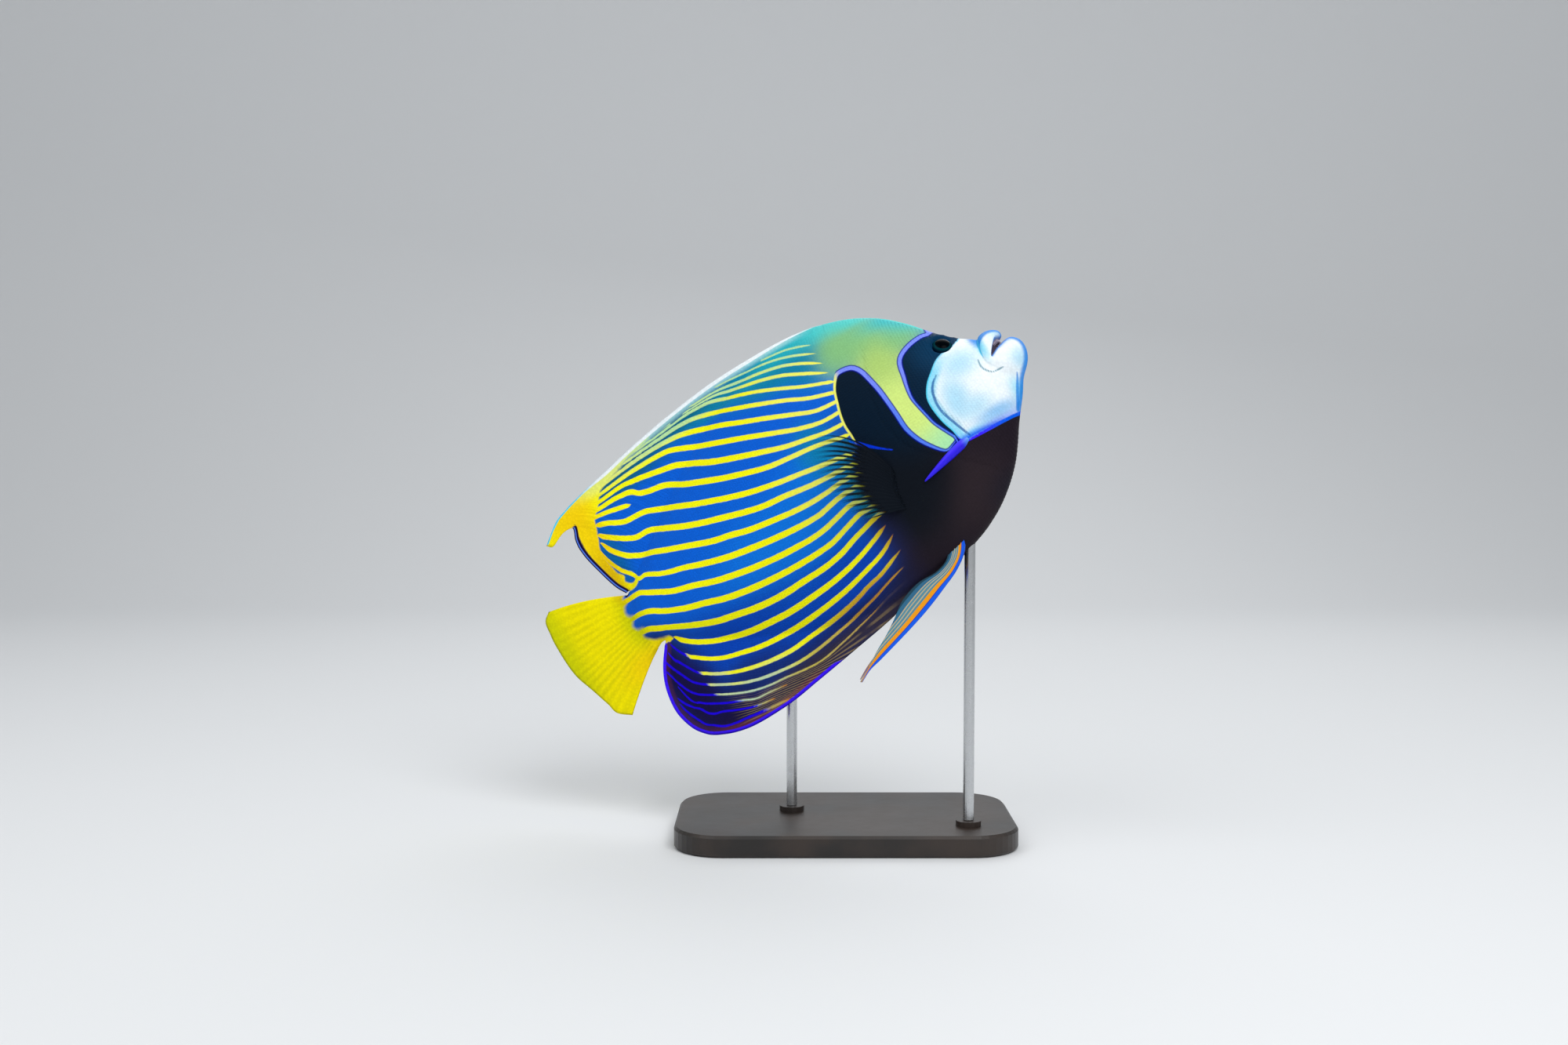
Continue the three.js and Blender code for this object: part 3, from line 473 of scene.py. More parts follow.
    line: Washes = Washes(Tint.STRIPE, {
        Tint.STRIPE_PALE: [[105, 30, 16, 16, 0.8], [112, 55, 18, 12, 0.8], [130, 0, 14, 24, 0.6],
            [236, 80, 20, 4, 1.2]],
        Tint.STRIPE_AQUA: [[105, 72, 16, 8, 1.6], [140, 80, 18, 5, 1.2], [200, 80, 36, 4, 1.4]],
        Tint.STRIPE_TAN: [[112, -60, 8, 20, 0.6], [130, -74, 26, 6.5, 3.0]],
        Tint.STRIPE_SAND: [[172, -81, 22, 5, 1.6], [216, -88, 14, 6, 3.0]],
        Tint.STRIPE_ICE: [[232, -76, 18, 6, 1.6], [247, -63, 5, 7, 0.8]],
        Tint.AMBER: [[270, 50, 8, 24, 1.0], [276, 72, 12, 8, 1.2], [282, -28, 14, 8, 3.0]],
        Tint.OCHRE: [[271, 26, 4, 14, 2.0]],
        Tint.TAIL: [[300, -8, 20, 44, 4.0]],
        Tint.TAIL_GREEN: [[274, -4, 6, 14, 1.6], [321, -4, 9, 36, 4.0]],
    }, 0.2)
    dark: Washes = Washes(Tint.PLUM, {
        Tint.NAVY: [[86, 20, 16, 26, 3.0], [78, -12, 10, 12, 1.6], [46, -64, 12, 8, 0.12]],
        Tint.COAL: [[90, -34, 14, 16, 6.0]],
        Tint.PLUM_BROWN: [[66, -56, 20, 14, 0.3]],
    })
    least_gap: float = 1.2
    outer_gap: float = 8.0
    # Lighter round the eye: partly the teal of the socket, mostly painted light on the mask.
    mask_ground: Washes = Washes(Tint.INDIGO, {
        Tint.SOCKET: [[*EYE_AT, 11, 10, 0.9], [40, 8, 6, 10, 0.05]],
    })
    face_ground: Washes = Washes(Tint.WHITE, {
        Tint.ICE: [[41, -8, 5, 7, 0.3], [36, -19, 7, 5, 0.2], [44, -14, 4, 6, 0.22],
            [31, 6, 8, 6, 0.25], [2, -9, 4, 5, 0.25], [5, 12, 4, 4, 0.15]],
        Tint.SKY: [[28, -27, 9, 3, 0.4]],
        Tint.CYAN: [[16.5, 9, 1.8, 6, 0.5], [12, -24, 3.5, 6, 0.35]],
    })
    # Painted shade in the folds of the cheek groove, the mouth's corner, the upper lip's rear edge and
    # the throat; the last line is the ear patch's own blue lower edge.
    creases: tuple[Crease, ...] = (
        Crease(Outline([[44, 6.8, 0.5], [47.2, 4.4, 1.2], [50.1, 0.4, 1.4], [51.9, -6.4, 1.4],
                        [51.8, -13, 1.4], [50, -20, 1.4], [48, -27, 1.3], [46.8, -30.5, 0.9]],
                       closed=False), Tint.CREASE),
        Crease(Outline([[21.4, 2.4, 0.6], [22.1, -1.5, 1.0], [21.2, -4.6, 1.1], [18.6, -7.6, 0.9],
                        [14.8, -8.2, 1.0], [12.2, -8.4, 0.4]], closed=False), Tint.SLATE),
        Crease(Outline([[16.4, 14.6, 0.6], [17.4, 8.9, 1.0], [18.2, 5.5, 1.1], [18.4, 2.4, 0.4]],
                       closed=False), Tint.CYAN),
        Crease(Outline([[8.6, -14, 0.6], [12.2, -19.4, 1.2], [15.8, -24.8, 1.3], [20.4, -31.6, 1.3]],
                       closed=False), Tint.LAKE),
        Crease(Outline([[101.6, 3.8, 1.6], [100.6, 1.2, 2.2], [98.5, -1.2, 2.4], [94.2, -5.8, 1.7],
                        [89.8, -10.2, 1.1], [85, -14.4, 0.6]], closed=False), Tint.COBALT),
    )
    mask: Outline = Outline([
        [33, 45, 0], [35.7, 32.9, 2.2], [40.1, 32.1, 2.2], [47.2, 30.5, 2.2], [53.5, 27.6, 2.1],
        [56.7, 23.6, 2.0], [58.5, 16.2, 1.7], [60.2, 9.7, 1.3], [61.2, 3.5, 1.0], [60.8, -2.1, 0.8],
        [59.6, -9.6, 0.8], [58.5, -15.6, 0.8], [53.9, -26.8, 0.9], [51.5, -32, 0], [19, -30, 0],
        [-20, -30, 0], [-20, 60, 0]])
    face: Outline = Outline([
        [23.5, 26, 0.7], [25, 20.1, 0.7], [29.6, 17.1, 0.7], [38.5, 14.9, 0.7], [45, 9.9, 0.7],
        [50.3, 5.1, 0.7], [54.3, -1.3, 0.7], [55.1, -8.2, 0.7], [54.4, -16.9, 0.7], [52.7, -23.9, 0.7],
        [52.3, -29.5, 0.7], *JAW_LINE, [14, -32.5, 0.5], [-20, -32.5, 0], [-20, 60, 0], [22, 60, 0]])
    shade: Outline = Outline([
        [90.9, 37.3, 1.6], [87.6, 39.8, 2.2], [80.4, 38, 2.3], [76.5, 32.7, 2.2], [74.6, 24.5, 2.2],
        [73.4, 16.7, 2.2], [72.9, 7.9, 2.1], [72.7, 0.2, 2.1], [72.7, -8.8, 2.0], [70.7, -16.8, 1.8],
        [67.3, -23.6, 1.4], [62, -30.6, 0.8], [57.5, -30.1, 0.4], [53.2, -28.9, 0.4], *JAW_LINE,
        [12, -32.5, 0.3], [-10, -50, 0], [40, -90, 0], [112, -95, -14], [110, -60, -13],
        [107, -30, -10], [103, -12, -5], [99.9, -0.6, 0.5], [99.6, 5.4, 1.3], [99.7, 11.8, 1.3],
        [98.5, 18.6, 1.3], [96.6, 24.9, 1.3], [94.3, 31.9, 1.3]])
    yellow: tuple[Outline, ...] = (
        Outline([[204, 85.5, 2], [212.5, 81.7, 2], [224.3, 80.8, 2], [234.3, 78, 2], [241.3, 76.7, 1.5],
                 [248.8, 74.7, 1], [251.9, 71.5, 1], [254.8, 67.8, 1], [258.4, 64.5, 1], [260.9, 62.4, 1],
                 [261.9, 59.2, 1], [262.9, 56.7, 1], [264.3, 53.7, 1], [265.6, 50.2, 1], [267.6, 46, 1],
                 [267.9, 40, 1], [267.3, 35, 1], [266.4, 30, 1], [265.7, 26, 1], [264.8, 21.6, 1],
                 [262.6, 18.4, 1], [259.4, 16.9, 1], [256.8, 18, 1], [255.6, 15.4, 1], [258, 13.6, 1],
                 [261, 13.3, 1], [264, 13.9, 1], [266.2, 15.2, 1], [267.8, 17.5, 1], [268.9, 20.5, 1],
                 [270.4, 24.6, 1], [271.6, 29.3, 1], [272.8, 34, 1], [273.9, 38.7, 1], [275.4, 46.4, 1],
                 [275.7, 51, 1], [275.4, 56.4, 1], [275.2, 59.5, 1], [274.6, 63, 1], [276.5, 63, 1],
                 [290, 59, 1], [308, 56, 1], [308, 95, 1], [204, 95, 2]]),
        Outline([[268, 30, 1], [268.5, 16, 1], [270.5, 12.5, 2.4], [269, 9.4, 2.4], [272.2, 7.6, 2.4],
                 [273.8, 4.4, 2.4], [272.4, 1.4, 2.4], [269.4, -0.4, 2.4], [272.4, -2.4, 2.4],
                 [274, -5, 2.4], [272, -7.8, 2.4], [267.6, -9.6, 2.4], [270.6, -12, 2.4],
                 [270.4, -14.6, 2], [266.4, -18.4, 2], [261.5, -20.6, 2], [256.5, -23, 1],
                 [262, -34, 1], [285, -60, 1], [340, -60, 1], [340, 60, 1]]),
    )
    violet: Outline = Outline([
        [290, -22], [257.5, -22.5], [255.2, -26], [254.8, -36.5], [253.2, -50.4], [253, -58.3],
        [252.3, -64.8], [247, -71], [240, -77.5], [234, -84], [230, -100], [290, -100]])
    snout: Outline = Outline([
        [4, 6.5], [0.6, 5], [-2.2, 1.4], [-2.6, -3.4], [-1, -8.2], [1.8, -12], [5.2, -15], [8.3, -18],
        [13.2, -24.6], [19.5, -31.8]], closed=False)
    violet_half: float = 0.62
    bold: tuple[float, float] = (1.06, 1.27)
    # Fixed direction near the view; skin at the lips that turns away from it gets blue painted edge
    # shade.
    edge_shade_direction: Triple = (0.24, 0.94, -0.23)
    lowest: int = 7

    def phase(self, s: Array, z: Array) -> tuple[Array, Array, Array]:
        """Place among the stripes.

        Args:
            s: distances back.
            z: heights.

        Returns:
            Stripe number with its fraction, millimetres per stripe, and half width of the nearest.
        """
        step = 0.25
        lines = [Curve(stripe.path, (1, float(k > self.lowest)))
                 for k, stripe in enumerate(self.stripes)]
        height = np.stack([line(s) for line in lines])
        slope = np.stack([(line(s + step) - line(s - step)) / (2 * step) for line in lines])
        for k in range(1, len(lines)):
            height[k] = np.maximum(height[k], height[k - 1] + self.least_gap)
        rise = np.diff(height, axis=0)
        rise = np.vstack([rise[:1], rise, rise[-1:]])
        gap = 0.5 * (rise[:-1] + rise[1:]) / np.sqrt(1 + slope**2)
        below = np.sum(height <= z, axis=0) - 1
        k = np.clip(below, 0, len(lines) - 2)
        column = np.arange(len(s))
        low, high = height[k, column], height[k + 1, column]
        share = np.where(below < 0, (z - low) / self.outer_gap,
                         np.where(below > len(lines) - 2, 1 + (z - high) / self.outer_gap,
                                  (z - low) / (high - low)))
        inside = np.clip(share, 0, 1)
        per_stripe = gap[k, column] * (1 - inside) + gap[k + 1, column] * inside
        thin, thick = self.bold
        halves = np.stack([stripe.half_at(s) for stripe in self.stripes])
        halves = halves * (thin + (thick - thin) * smooth(s, 90, 240))
        half = np.where(share < 0.5, halves[k, column], halves[k + 1, column])
        half = np.where((share < -0.5) | (share > 1.5), 0, half)
        return k + share, per_stripe, half

    def write(self, mesh: Mesh, s: Array, z: Array, hull: "Hull", tail: Array) -> None:
        """Writes the markings on a mesh as attributes of its vertices.

        Args:
            mesh: the mesh.
            s: distance back of each vertex.
            z: height of each vertex.
            hull: gives the margins of the fins.
            tail: whether each vertex is on the tail fin.
        """
        phase, gap, half = self.phase(s, z)
        number = np.clip(np.round(phase), 0, len(self.stripes) - 1).astype(int)
        violet = 1 - smooth(self.violet.distance(s, z)[0], -0.8, 0.8)
        low = number < self.lowest
        half = np.where((violet > 0.5) & low, np.minimum(half, self.violet_half), half)
        edges = [outline.distance(s, z) for outline in (self.mask, self.face, self.shade)]
        nearest = np.argmin(np.abs(np.stack([d for d, _ in edges])), axis=0)
        place = np.arange(len(s))
        areas = [outline.distance(s, z) for outline in self.yellow]
        yellow = np.min([far / blur for far, blur in areas], axis=0)
        yellow = np.where((z < -24.5) & ~tail, 9, yellow)
        write_vector(mesh, "stripe", np.stack([phase, gap, half], 1))
        write_vector(mesh, "edge_far", np.stack([d for d, _ in edges], 1))
        write_vector(mesh, "edge_width", np.stack([w for _, w in edges], 1))
        write_value(mesh, "yellow_far", yellow)
        write_colour(mesh, "rim", self._rim_colours(s, z)[nearest, place])
        starts = np.array([stripe.path[0][0] for stripe in self.stripes])[number]
        brown = smooth(starts - s, -7, -1.5) * smooth(-z, 28, 38)
        line = blend(self.line.at(s, z), Tint.STRIPE_TAN.linear, brown)
        write_colour(mesh, "line", blend(line, Tint.VIOLET_DEEP.linear, violet * low * ~tail))
        hair = smooth(s, 116, 150) * (1 - smooth(s, 236, 252)) * smooth(3.4 - phase, 0, 1)
        write_value(mesh, "hair", hair)
        write_colour(mesh, "dark", self.dark.at(s, z))
        write_colour(mesh, "mask_tint", self.mask_ground.at(s, z))
        # Blue at the lips: partly their own blue edges, partly painted edge shade where the skin turns
        # away from a fixed direction.
        face = blend(self._face_colours(s, z, edges[1][0]), Tint.LAKE.linear, self._lip_rims(mesh, s, z))
        write_colour(mesh, "face_tint", face)
        # Lines in the skin's folds, painted shade, and the ear patch's blue line.
        folds = [crease.line.distance(s, z) for crease in self.creases]
        fold = np.argmin(np.stack([d - w / 2 for d, w in folds]), axis=0)
        far, wide = (np.stack([f[k] for f in folds])[fold, place] for k in (0, 1))
        ink = (nearest < 1) | ((nearest == 2) & (s < 89) & (z > -31))
        write_vector(mesh, "crease", np.stack([far, wide, ink], 1))
        write_colour(mesh, "fold_shade_and_line_tint", np.stack([c.tint.linear for c in self.creases])[fold])
        self._write_margin(mesh, s, z, hull, tail)

    def _rim_colours(self, s: Array, z: Array) -> Array:
        """Colours of the fine lines along the mask, the face and the ear patch.

        Args:
            s: distances back.
            z: heights.

        Returns:
            Three sets of rows, one for each edge.
        """
        mask = blend(Tint.PERIWINKLE.linear, Tint.CORNFLOWER.linear, smooth(-z, -14, 4))
        low = smooth(-z, 24, 31)
        under = blend(Tint.BRIGHT_BLUE.linear, Tint.VIOLET.linear, smooth(s, 26, 44))
        face = blend(blend(Tint.ICE.linear, Tint.CYAN.linear, smooth(s, 30, 50)), under, low)
        ear = blend(Tint.PERIWINKLE.linear, Tint.CORNFLOWER.linear, smooth(-z, -30, 10))
        ear = blend(ear, Tint.STRIPE_PALE.linear, smooth(s, 86, 92))
        ear = blend(ear, under, low * (1 - smooth(s, 52, 58)))
        return np.stack([mask, face, ear])

    def _face_colours(self, s: Array, z: Array, far: Array) -> Array:
        """Colours of the white face, bluer towards its rear edge and its lower one.

        Args:
            s: distances back.
            z: heights.
            far: distance to the edge of the face.

        Returns:
            Rows of colours.
        """
        white = self.face_ground.at(s, z)
        strip = 0.75 * smooth(far, -6.5, -2.5) * smooth(s, 30, 46)
        under = 1 - smooth(Outline(JAW_LINE, closed=False).distance(s, z)[0], 0.6, 5.5)
        under = under**1.5 * (0.4 + 0.6 * smooth(s, 16, 40))
        return blend(blend(white, Tint.CYAN.linear, strip), Tint.BRIGHT_BLUE.linear, under)

    def _lip_rims(self, mesh: Mesh, s: Array, z: Array) -> Array:
        """Share of blue round the lips and snout: their own blue edges and painted edge shade where the
        skin turns away.

        Args:
            mesh: gives the directions of the skin.
            s: distances back.
            z: heights.

        Returns:
            One share for each vertex.
        """
        out = np.zeros(3 * len(s), np.float32)
        mesh.vertex_normals.foreach_get("vector", out)
        forward, side, up = out.reshape(-1, 3).T
        ahead, aside, above = self.edge_shade_direction
        # Painted edge shade: blue where the skin turns from the fixed direction, and along the snout's
        # profile.
        slant = 1 - (ahead * forward + aside * np.abs(side) + above * up)
        turned = smooth(slant, 0.24, 0.58) * smooth(slant, 1.35, 1.15) * smooth(s, 23, 19)
        front = smooth(self.snout.distance(s, z)[0], 2.4, 0.6) * smooth(s, 22, 18)
        return 0.9 * np.maximum(turned, front)

    def _write_margin(self, mesh: Mesh, s: Array, z: Array, hull: "Hull", tail: Array) -> None:
        """Stores how far the margin of the fins is, and the half width, place and colour of its line;
        along the back before the dorsal fin the line is a painted highlight.

        Args:
            mesh: the mesh.
            s: distances back.
            z: heights.
            hull: gives the margins.
            tail: whether each vertex is on the tail fin.
        """
        far = np.stack([line.distance(s, z)[0] for line in hull.margins()])
        nearest = np.argmin(far, axis=0)
        far = far[nearest, np.arange(len(s))]
        top = 1.1 + 1.3 * smooth(s, 84, 130) - 1.4 * smooth(s, 238, 262)
        low = 2.0 * smooth(s, 176, 184)
        rear = nearest == 2
        wide = np.select([nearest == 0, nearest == 1, rear], [top, 0 * s, 0 * s + 0.35], low)
        width = np.where(tail, 0, wide)
        # Before the dorsal fin the line runs along the back, where its aqua is a painted highlight on the
        # silhouette; from the dorsal on it is the fin's white margin.
        crown = blend(Tint.AQUA.linear, Tint.WHITE.linear, smooth(s, 80, 105))
        crown = blend(crown, Tint.CYAN.linear, smooth(s, 245, 270))
        plain = [np.tile(tint.linear, (len(s), 1)) for tint in (Tint.AMBER, Tint.CORNFLOWER)]
        chosen = [(nearest == k)[:, None] for k in range(3)]
        tint = np.select(chosen, [crown, *plain], Tint.VIOLET.linear)
        write_vector(mesh, "margin", np.stack([far, width, np.where(rear & ~tail, 1.1, 0)], 1))
        write_colour(mesh, "edge", tint)
        red = 0.7 * smooth(far, 5.5, 3.5) * (nearest == 3)
        red = red * smooth(s, 186, 200) * (1 - 0.6 * smooth(s, 250, 268))
        ground = blend(self.ground.at(s, z), Tint.RUSSET.linear, red * ~tail)
        pale = 0.8 * smooth(far, 6.5, 2) * (nearest == 0) * smooth(s, 88, 112) * smooth(s, 246, 215)
        write_colour(mesh, "ground", blend(ground, Tint.FROST.linear, pale * ~tail))


def blend(first: Array, second: Array, share: Array) -> Array:
    """Mixes two colours, or two rows of colours, by a share for each row."""
    part = np.asarray(share, float)[:, None]
    return first * (1 - part) + second * part


def write_value(mesh: Mesh, name: str, values: Array) -> None:
    """Stores one number for each vertex under a name."""
    mesh.attributes.new(name, "FLOAT", "POINT").data.foreach_set("value", values.astype(np.float32))


def write_vector(mesh: Mesh, name: str, values: Array) -> None:
    """Stores three numbers for each vertex under a name."""
    attribute = mesh.attributes.new(name, "FLOAT_VECTOR", "POINT")
    attribute.data.foreach_set("vector", values.astype(np.float32).ravel())


def write_colour(mesh: Mesh, name: str, values: Array) -> None:
    """Stores one linear colour for each vertex under a name."""
    rgba = np.hstack([values, np.ones((len(values), 1))]).astype(np.float32)
    mesh.attributes.new(name, "FLOAT_COLOR", "POINT").data.foreach_set("color", rgba.ravel())


@dataclass(frozen=True)
class Hull:
    """Right half of the body and its midline fins, as half thickness over the midplane."""

    back: Curve = Curve([
        [7, 9], [11, 12], [17, 15.5], [24, 21], [34, 32.2], [43, 44.8], [52, 55.2], [63, 64.3],
        [83, 75], [105, 80.5], [130, 81], [155, 75.5], [180, 66], [210, 51], [235, 35], [255, 21],
        [264, 15.2], [268, 13.4], [274, 15.2]])
    belly: Curve = Curve([
        [7, -12], [9, -17.5], [12.5, -23.6], [21, -33.3], [37, -53], [54, -66.5], [67, -73],
        [84, -78], [105, -81], [131, -80], [155, -76.5], [175, -71], [200, -60], [225, -46],
        [250, -28], [258, -23.4], [264, -21.6], [268, -23], [274, -25.6]])
    half_width: Curve = Curve([
        [7, 7.5], [12, 10.5], [20, 13.5], [35, 19], [55, 24.5], [80, 28], [105, 28.5], [135, 26.5],
        [165, 22.5], [195, 18], [225, 13.5], [250, 9.8], [262, 7.6], [268, 5], [274, 1.4]])
    widest: Curve = Curve([[7, 0], [20, -4], [50, 0], [90, 4], [150, 2], [220, -2], [274, -3.5]])
    back_round: Curve = Curve([[7, 0.5], [50, 0.55], [85, 0.7], [120, 0.8], [240, 0.8], [274, 0.5]])
    belly_round: Curve = Curve([[7, 0.5], [60, 0.55], [120, 0.55], [150, 0.7], [240, 0.8], [274, 0.5]])
    power: float = 2.1
    dorsal_root: Curve = Curve([[84, 0], [168, 0.42], [206, 0.62], [236, 0.8], [252, 0.9], [263, 1]])
    dorsal_margin: Curve = Curve([
        [0, 86, 77], [0.1, 107, 82], [0.2, 131, 85.3], [0.32, 160, 87.5], [0.43, 188, 87.2],
        [0.56, 221, 85], [0.65, 241, 82.6], [0.73, 262, 80.1], [0.77, 274, 78], [0.8, 284.5, 74.8],
        [0.8235, 296, 67]])
    dorsal_rear: Curve = Curve([
        [0.8235, 296, 67], [0.8382, 292.3, 64.2], [0.8529, 283.5, 67.3], [0.8676, 276, 66.6],
        [0.8824, 278.3, 59.5], [0.9118, 278.6, 48.5], [0.9412, 275.5, 34.5], [0.9706, 271.8, 22],
        [1, 268, 14.8]])
    dorsal_bend: Curve = Curve([
        [0.5, 0, 0], [0.65, 0, 5], [0.73, 0, 14], [0.79, 1, 27], [0.8235, 2, 37], [0.8382, 3, 35],
        [0.8529, 0, 23], [0.8676, 0, 12], [0.8824, 0, 5], [0.93, 0, 1], [1, 0, 0]])
    notch: float = 0.8676
    anal_root: Curve = Curve([[126, 0], [176, 0.3], [216, 0.6], [245, 0.85], [260, 1]])
    anal_margin: Curve = Curve([
        [0, 128, -81.6], [0.05, 137, -84.8], [0.1, 147, -86.4], [0.17, 164, -88.2],
        [0.32, 194, -91.2], [0.5, 222.5, -93.2], [0.64, 248, -91], [0.72, 260.5, -86.6],
        [0.79, 270, -80.4], [0.84, 275.9, -71.7], [0.89, 278.8, -58], [0.93, 276.6, -44.5],
        [0.97, 271, -33], [1, 264.2, -24.3]])
    tail_margin: Curve = Curve([
        [0, 316, 33.2], [0.05, 320.3, 30.2], [0.14, 322.3, 21], [0.3, 322.8, 7.5], [0.5, 321.4, -8],
        [0.7, 316.8, -21.5], [0.85, 312.8, -33.5], [0.94, 310, -41.5], [1, 303, -47]])
    tail_bend: Curve = Curve([[0, 0, 4], [0.2, 0, 1.5], [0.7, 0, 1], [0.9, -0.5, 2], [1, -1, 3]])
    fin_half: tuple[float, float] = (1.7, 0.28)
    fin_rise: float = 8
    fin_sunk: float = 6
    ridge: float = 0.1
    tail_ridge: float = 0.18
    dorsal_rays: int = 35
    anal_rays: int = 23
    tail_rays: int = 17

    def body_half(self, s: Array, z: Array) -> Array:
        """Half thickness of the body alone, nothing outside its outline.

        Args:
            s: distances back.
            z: heights.

        Returns:
            Half thicknesses, in millimetres.
        """
        middle = self.widest(s)
        above = z >= middle
        edge = np.where(above, self.back(s), self.belly(s))
        power = np.where(above, self.back_round(s), self.belly_round(s))
        t = np.clip((z - middle) / (edge - middle), 0, 1)
        fade = 1 - smooth(s, 268, 281)
        return self.half_width(s) * fade * np.maximum(1 - t**self.power, 0) ** power

    def margins(self) -> tuple[Outline, ...]:
        """Traces the free edges of the midline fins.

        Returns:
            Open lines along the crown and dorsal fin, its notch, its rear and the anal fin.
        """
        crown, tip = np.linspace(24, 84, 30), self.dorsal_rear.knots[0, 0]
        spans = ((self.dorsal_margin, 0, tip), (self.dorsal_rear, tip, self.notch),
                 (self.dorsal_rear, self.notch, 1), (self.anal_margin, 0, 1))
        traced = [np.stack([line(u), line(u, 2)], 1) for line, first, last in spans
                  for u in [np.linspace(first, last, 50)]]
        traced[0] = np.vstack([np.stack([crown, self.back(crown)], 1), traced[0]])
        return tuple(Outline(line, False, 1) for line in traced)

    def fin_profile(self, w: Array) -> Array:
        """Half thickness of a midline fin from its root, at 0, to its margin, at 1."""
        root, tip = self.fin_half
        return tip + (root - tip) * (1 - np.clip(w, 0, 1)) ** 2

    def _fin(self, s: float, upper: bool) -> tuple[Array, Array, float, float]:
        """Margin point of the ray at a station, its bow, how much of it stands, and its place.

        Args:
            s: station on the body.
            upper: whether it is the dorsal fin's ray.

        Returns:
            The margin's (s, z), the bow, the share that stands and the place along the fin.
        """
        root = self.dorsal_root if upper else self.anal_root
        first, last = root.knots[0, 0], root.knots[-1, 0]
        u = float(root(s))
        line, bow = self.anal_margin, np.zeros(2)
        if upper:
            line = self.dorsal_rear if u > self.dorsal_rear.knots[0, 0] else self.dorsal_margin
            bow = np.array([self.dorsal_bend(u), self.dorsal_bend(u, 2)])
        rises = float(smooth(s, first, first + self.fin_rise)) * float(1 - smooth(s, last, last + 2.2))
        return np.array([line(u), line(u, 2)]), bow, rises, u

    def column(self, s: float, count: int) -> Array:
        """Points down the right side at a station, from the upper margin to the lower one.

        Args:
            s: station on the body.
            count: how many points, evenly spaced over the surface.

        Returns:
            Rows of s, half thickness, z and ray number.
        """
        rows = []
        tops = {True: float(self.back(s)), False: float(self.belly(s))}
        fins = {}
        for upper in (True, False):
            tip, bow, rises, u = self._fin(s, upper)
            root = np.array([s, tops[upper]])
            ray = (tip - root) * rises
            number = u * ((self.dorsal_rays if upper else self.anal_rays) - 1)
            fins[upper] = (number, rises)
            part = []
            if float(np.hypot(*ray)) > 0.3:
                for w in np.linspace(1, 0.02, 32):
                    s_w, z_w = root + ray * w + 2 * w * (1 - w) * bow * rises
                    groove = self.ridge * math.cos(FULL_TURN * number) * (1 - w) * min(1, 4 * w)
                    half = 0.0 if w == 1 else float(self.fin_profile(w)) * min(1, rises * 1.5) + groove
                    part.append([s_w, half, z_w, number])
            rows.append(part)
        middle = float(self.widest(s))
        body = []
        for angle in np.linspace(0, math.pi, 120):
            t = math.cos(angle)
            z = middle + (tops[True] - middle) * t if t > 0 else middle + (middle - tops[False]) * t
            plain = float(self.body_half(np.array([s]), np.array([z]))[0])
            number, rises = fins[t > 0]
            depth = abs(z - tops[t > 0])
            core = self.fin_half[0] * min(1, rises * 1.5) * math.exp(-((depth / self.fin_sunk) ** 2))
            body.append([s, (plain**3 + core**3) ** (1 / 3), z, number])
        path = np.array([*rows[0], *body, *rows[1][::-1]])
        return resample(path, count)

    def tail_column(self, w: float, start: Array) -> Array:
        """Points across the tail fin at a share w of the way from the stem to its rear margin.

        Args:
            w: share of the way.
            start: last column of the body.

        Returns:
            Rows of s, half thickness, z and ray number.
        """
        v = np.linspace(0, 1, len(start))
        tip_s, tip_z = self.tail_margin(v), self.tail_margin(v, 2)
        bow = 2 * w * (1 - w)
        s = start[:, 0] + (tip_s - start[:, 0]) * w + bow * self.tail_bend(v)
        z = start[:, 2] + (tip_z - start[:, 2]) * w + bow * self.tail_bend(v, 2)
        fin = 2.3 * (1 - w) ** 2 * (1 - 0.4 * w) + self.fin_half[1]
        rays = v * (self.tail_rays - 1)
        fin = fin + self.tail_ridge * np.cos(FULL_TURN * rays) * (1 - w) ** 0.5 * min(1, 4 * w)
        across = np.abs(z[-1] - z[0])
        edge = np.minimum(v, 1 - v) * across
        fin = fin * np.sqrt(smooth(edge, -0.2, 2.2)) * (edge > 0) * (w < 1)
        body = self.body_half(s, z)
        body[[0, -1]] = 0
        half = (fin**3 + body**3) ** (1 / 3)
        return np.stack([s, half, z, rays + TAIL_FROM], 1)


def resample(path: Array, count: int) -> Array:
    """Spaces points evenly along a path.

    Args:
        path: rows whose first three columns are places, other columns are carried along.
        count: number of points wanted.

    Returns:
        The rows at even spacing, with both ends kept.
    """
    steps = np.linalg.norm(np.diff(path[:, :3], axis=0), axis=1)
    along = np.concatenate([[0], np.cumsum(steps)])
    want = np.linspace(0, along[-1], count)
    return np.stack([np.interp(want, along, path[:, c]) for c in range(path.shape[1])], 1)


